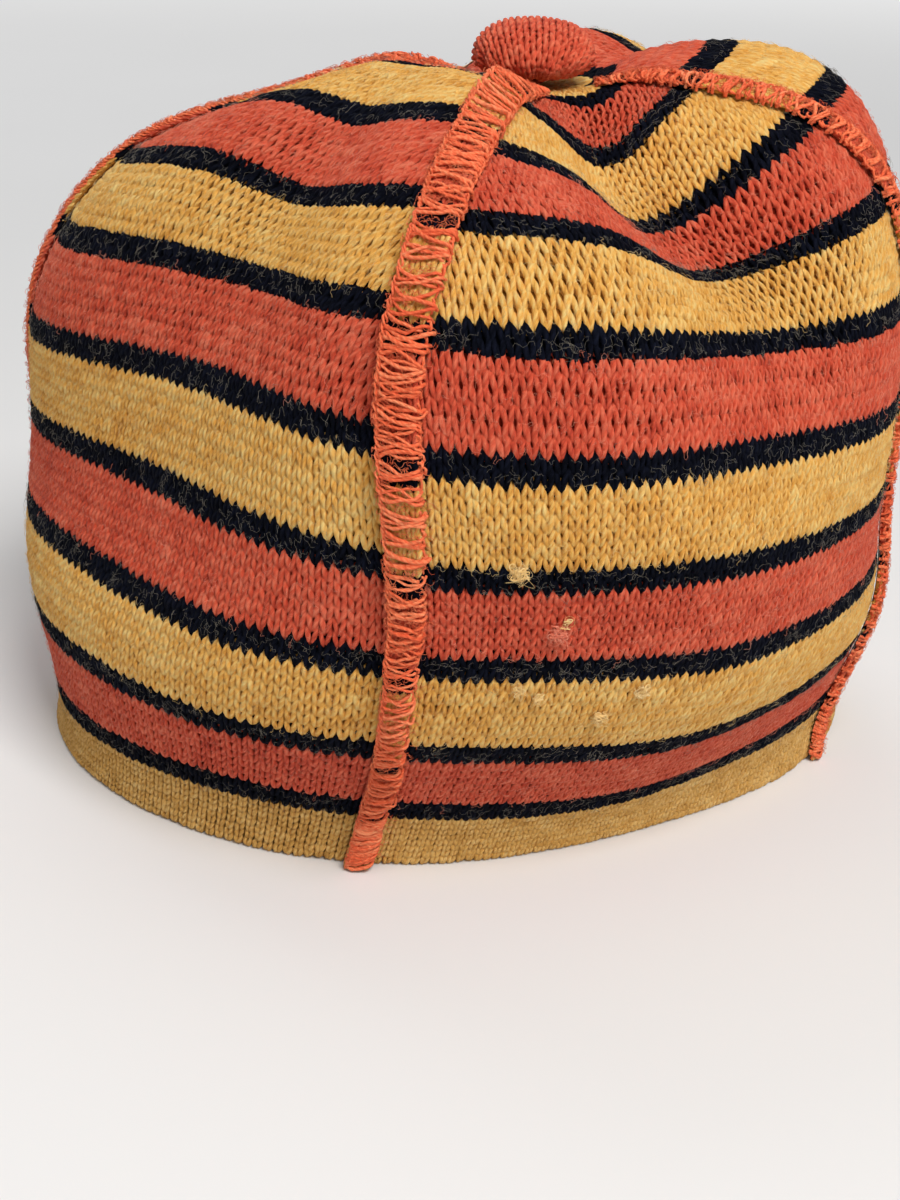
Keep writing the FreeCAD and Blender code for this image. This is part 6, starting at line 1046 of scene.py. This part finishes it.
# -------------------------------------------------------- loose wool fibres
def fibres(name, mat, slot, rows, count, seed, length, lift, radius):
    """Curled fibres over bands two courses deep that start at the given rows."""
    draws = np.random.default_rng(seed)
    bag = Strands()
    for g in range(4):
        course = rows[draws.integers(0, len(rows), count)] + draws.random(count) * 2.0
        share = np.interp(course, COURSES, WIDTH[g]) / max(WIDTH[g])
        course = course[(draws.random(count) < share) & (course < 68.5)][:, None]
        column = course.shape
        across = draws.uniform(-0.97, 0.97, column)
        t = np.linspace(-0.5, 0.5, 8)[None, :]
        size = draws.uniform(*length, column)
        heading = draws.uniform(0, 2 * np.pi, column)
        heading = heading + draws.normal(0, 4.0, column) * t
        heading = heading + 1.1 * np.sin(t * 9 + draws.uniform(0, 6, column))
        dx, dy = walk(heading, size)
        width = np.interp(course, COURSES, WIDTH[g])
        across = np.clip(across + dx / width * 2, -0.99, 0.99)
        course = np.clip(course + dy / 2.3, RIM + 0.1, TOP - 2)
        height = draws.uniform(*lift, column) * np.sin(np.pi * (t + 0.5)) ** 0.7 - 0.05
        bag.lay(cloth(g, across, course, -height), normal(g, across, course), radius,
                draws.random(column), sides=3)
    bag.make(name, mat, slot)


def stripe_rows(first):
    rows = np.arange(first, 76, 2.0 * STRIPE)
    return np.concatenate([rows + k for k in (0.0, 2.0, 4.0)])


STRAY = wool("stray_wool", base=(0.20, 0.18, 0.15), dark=(0.10, 0.09, 0.08),
             light=(0.40, 0.35, 0.27), bump=0.1, sheen=0.1)
STRAY_YELLOW = wool("stray_yellow_wool", base=(0.84, 0.56, 0.20), dark=(0.62, 0.36, 0.10),
                    light=(0.95, 0.76, 0.42), bump=0.1, sheen=0.2)
STRAY_ORANGE = wool("stray_orange_wool", base=(0.82, 0.22, 0.12), dark=(0.60, 0.11, 0.05),
                    light=(0.92, 0.42, 0.30), bump=0.1, sheen=0.2)
fibres("stray_fibres_pale", STRAY, "navy_yarn", np.arange(10) * float(STRIPE), count=1900,
       seed=61, length=(1.8, 5.5), lift=(0.15, 0.75), radius=0.018)
for yarn, mat, first, seed in (("orange", STRAY_ORANGE, NAVY_COURSES, 62),
                               ("yellow", STRAY_YELLOW, STRIPE + NAVY_COURSES, 63)):
    fibres("stray_fibres_" + yarn, mat, SLOTS[yarn], stripe_rows(first), count=2200,
           seed=seed, length=(1.2, 4.0), lift=(0.1, 0.6), radius=0.024)


def tuft(bag, across, course, size, strands, seed, radius):
    """Tangle of closed curls on the front right gore."""
    draws = np.random.default_rng(seed)
    centre, out = skin(0, across, course), normal(0, across, course)
    right = unit(np.cross(out, np.array([0.0, 0.0, 1.0])))
    up = np.cross(out, right)
    t = np.linspace(0, 2 * np.pi, 64)
    for _ in range(strands):
        wave = np.zeros((3, len(t)))
        for axis in range(3):
            for f in (1, 2, 3, 5):
                wave[axis] += draws.normal() * np.sin(f * t + draws.uniform(0, 6.28)) / f ** 0.8
            wave[axis] /= max(np.abs(wave[axis]).max(), 1e-6)
        x = wave[0] * size * draws.uniform(0.5, 1.0)
        y = wave[1] * size * draws.uniform(0.5, 1.0)
        z = (0.5 + 0.5 * wave[2]) * size * 0.9 - 0.1
        path = centre + right * x[:, None] + up * y[:, None] + out * z[:, None]
        normals = np.broadcast_to(out + 0.3 * right, path.shape)
        bag.lay(path, normals, radius * draws.uniform(0.6, 1.1), draws.random(), sides=5)


# across, course, size, colour, strands
TUFTS = [(-0.67, 26.0, 1.7, "yellow", 7), (-0.56, 20.6, 1.8, "orange", 7),
         (-0.54, 21.6, 1.5, "yellow", 1), (-0.64, 15.5, 1.2, "yellow", 4),
         (-0.58, 14.8, 1.1, "yellow", 3), (-0.38, 13.1, 1.5, "yellow", 6),
         (-0.27, 15.2, 1.4, "yellow", 5)]
for k, (across, course, size, yarn, strands) in enumerate(TUFTS):
    bag = Strands()
    tuft(bag, across, course, size, strands, 900 + k, radius=0.13)
    tuft(bag, across, course, size * 1.5, strands, 950 + k, radius=0.03)
    bag.make("tuft_%d" % k, STRAY_YELLOW if yarn == "yellow" else STRAY_ORANGE, SLOTS[yarn])


# ------------------------------------- pieces that keep their CAD shape
def set_mat(node, mat):
    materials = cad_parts[node].data.materials
    materials.clear()
    materials.append(mat)


PLAIN = felt("shank_thread_wool", (0.62, 0.12, 0.05))
FILLING = felt("filling_fibre", (0.72, 0.69, 0.60))
for node in ("shank_strands", "shank_wrap", "anchor_stitches", "button_gather_thread"):
    set_mat(node, PLAIN)
set_mat("button_stuffing", FILLING)


# ------------------------------------------- floor, light and camera (metres)
def floor_paper():
    """Near-white paper with painted light: an emission glow that brightens it away from the hat."""
    s = Shader("floor_paper")
    mottle = s.add("TexNoise", {"Scale": 40}).outputs["Fac"]
    distance = s.add("VectorMath", {0: s.add("TexCoord").outputs["Object"]}, operation="LENGTH")
    glow = s.add("MapRange", {"Value": distance.outputs["Value"], "From Min": 0.25,
                              "From Max": 2.2, "To Max": 0.60}, interpolation_type="SMOOTHSTEP")
    s.feed(s.surface, {
        "Base Color": s.ramp(mottle, (0.0, (0.78,) * 3), (1.0, (0.82,) * 3)),
        "Roughness": 0.9, "Emission Color": (1.0, 1.0, 1.0, 1),
        "Emission Strength": glow.outputs[0]})
    return s.mat


def make_floor(half=4, z=-0.0004):
    mesh = bpy.data.meshes.new("floor")
    corners = [(-half, -half, z), (half, -half, z), (half, half, z), (-half, half, z)]
    mesh.from_pydata(corners, [], [(0, 1, 2, 3)])
    mesh.materials.append(floor_paper())
    floor = bpy.data.objects.new("floor", mesh)
    bpy.context.scene.collection.objects.link(floor)


def make_world():
    """White room, dimmer as a light than it looks to the camera."""
    world = bpy.data.worlds.new("soft_room")
    bpy.context.scene.world = world
    world.use_nodes = True
    nodes, links = world.node_tree.nodes, world.node_tree.links
    background = nodes["Background"]
    background.inputs["Color"].default_value = (1.0, 1.0, 1.0, 1)
    path = nodes.new("ShaderNodeLightPath")
    strength = nodes.new("ShaderNodeMapRange")
    strength.inputs["To Min"].default_value = 0.30
    strength.inputs["To Max"].default_value = 0.92
    links.new(path.outputs["Is Camera Ray"], strength.inputs["Value"])
    links.new(strength.outputs[0], background.inputs["Strength"])


def area(name, place, target, size, power, colour):
    light = bpy.data.lights.new(name, "AREA")
    light.shape = "RECTANGLE"
    light.size = light.size_y = size
    light.energy = power
    light.color = colour
    ob = bpy.data.objects.new(name, light)
    bpy.context.scene.collection.objects.link(ob)
    ob.location = place
    ob.rotation_euler = (Vector(target) - Vector(place)).to_track_quat("-Z", "Y").to_euler()


def make_camera():
    camera = bpy.data.cameras.new("camera")
    camera.sensor_fit = "HORIZONTAL"
    camera.sensor_width = 36.0
    camera.lens = 67.5563
    camera.clip_start = 0.01
    ob = bpy.data.objects.new("camera", camera)
    bpy.context.scene.collection.objects.link(ob)
    ob.matrix_world = Matrix([[0.973218, -0.114166, 0.199534, 0.07732],
                              [0.22919, 0.414374, -0.880776, -0.331226],
                              [0.017873, 0.902918, 0.429441, 0.187586],
                              [0.0, 0.0, 0.0, 1.0]])
    bpy.context.scene.camera = ob


make_floor()
make_world()
area("key", place=(0.42, -0.50, 0.90), target=(0, 0, 0.08), size=0.45, power=10.2,
     colour=(1.0, 0.985, 0.96))
area("back_fill", place=(-0.5, 0.6, 0.9), target=(0, 0, 0.1), size=0.8, power=3.0,
     colour=(0.97, 0.98, 1.0))
make_camera()
bpy.context.scene.view_settings.view_transform = "Standard"
bpy.context.scene.view_settings.look = "None"
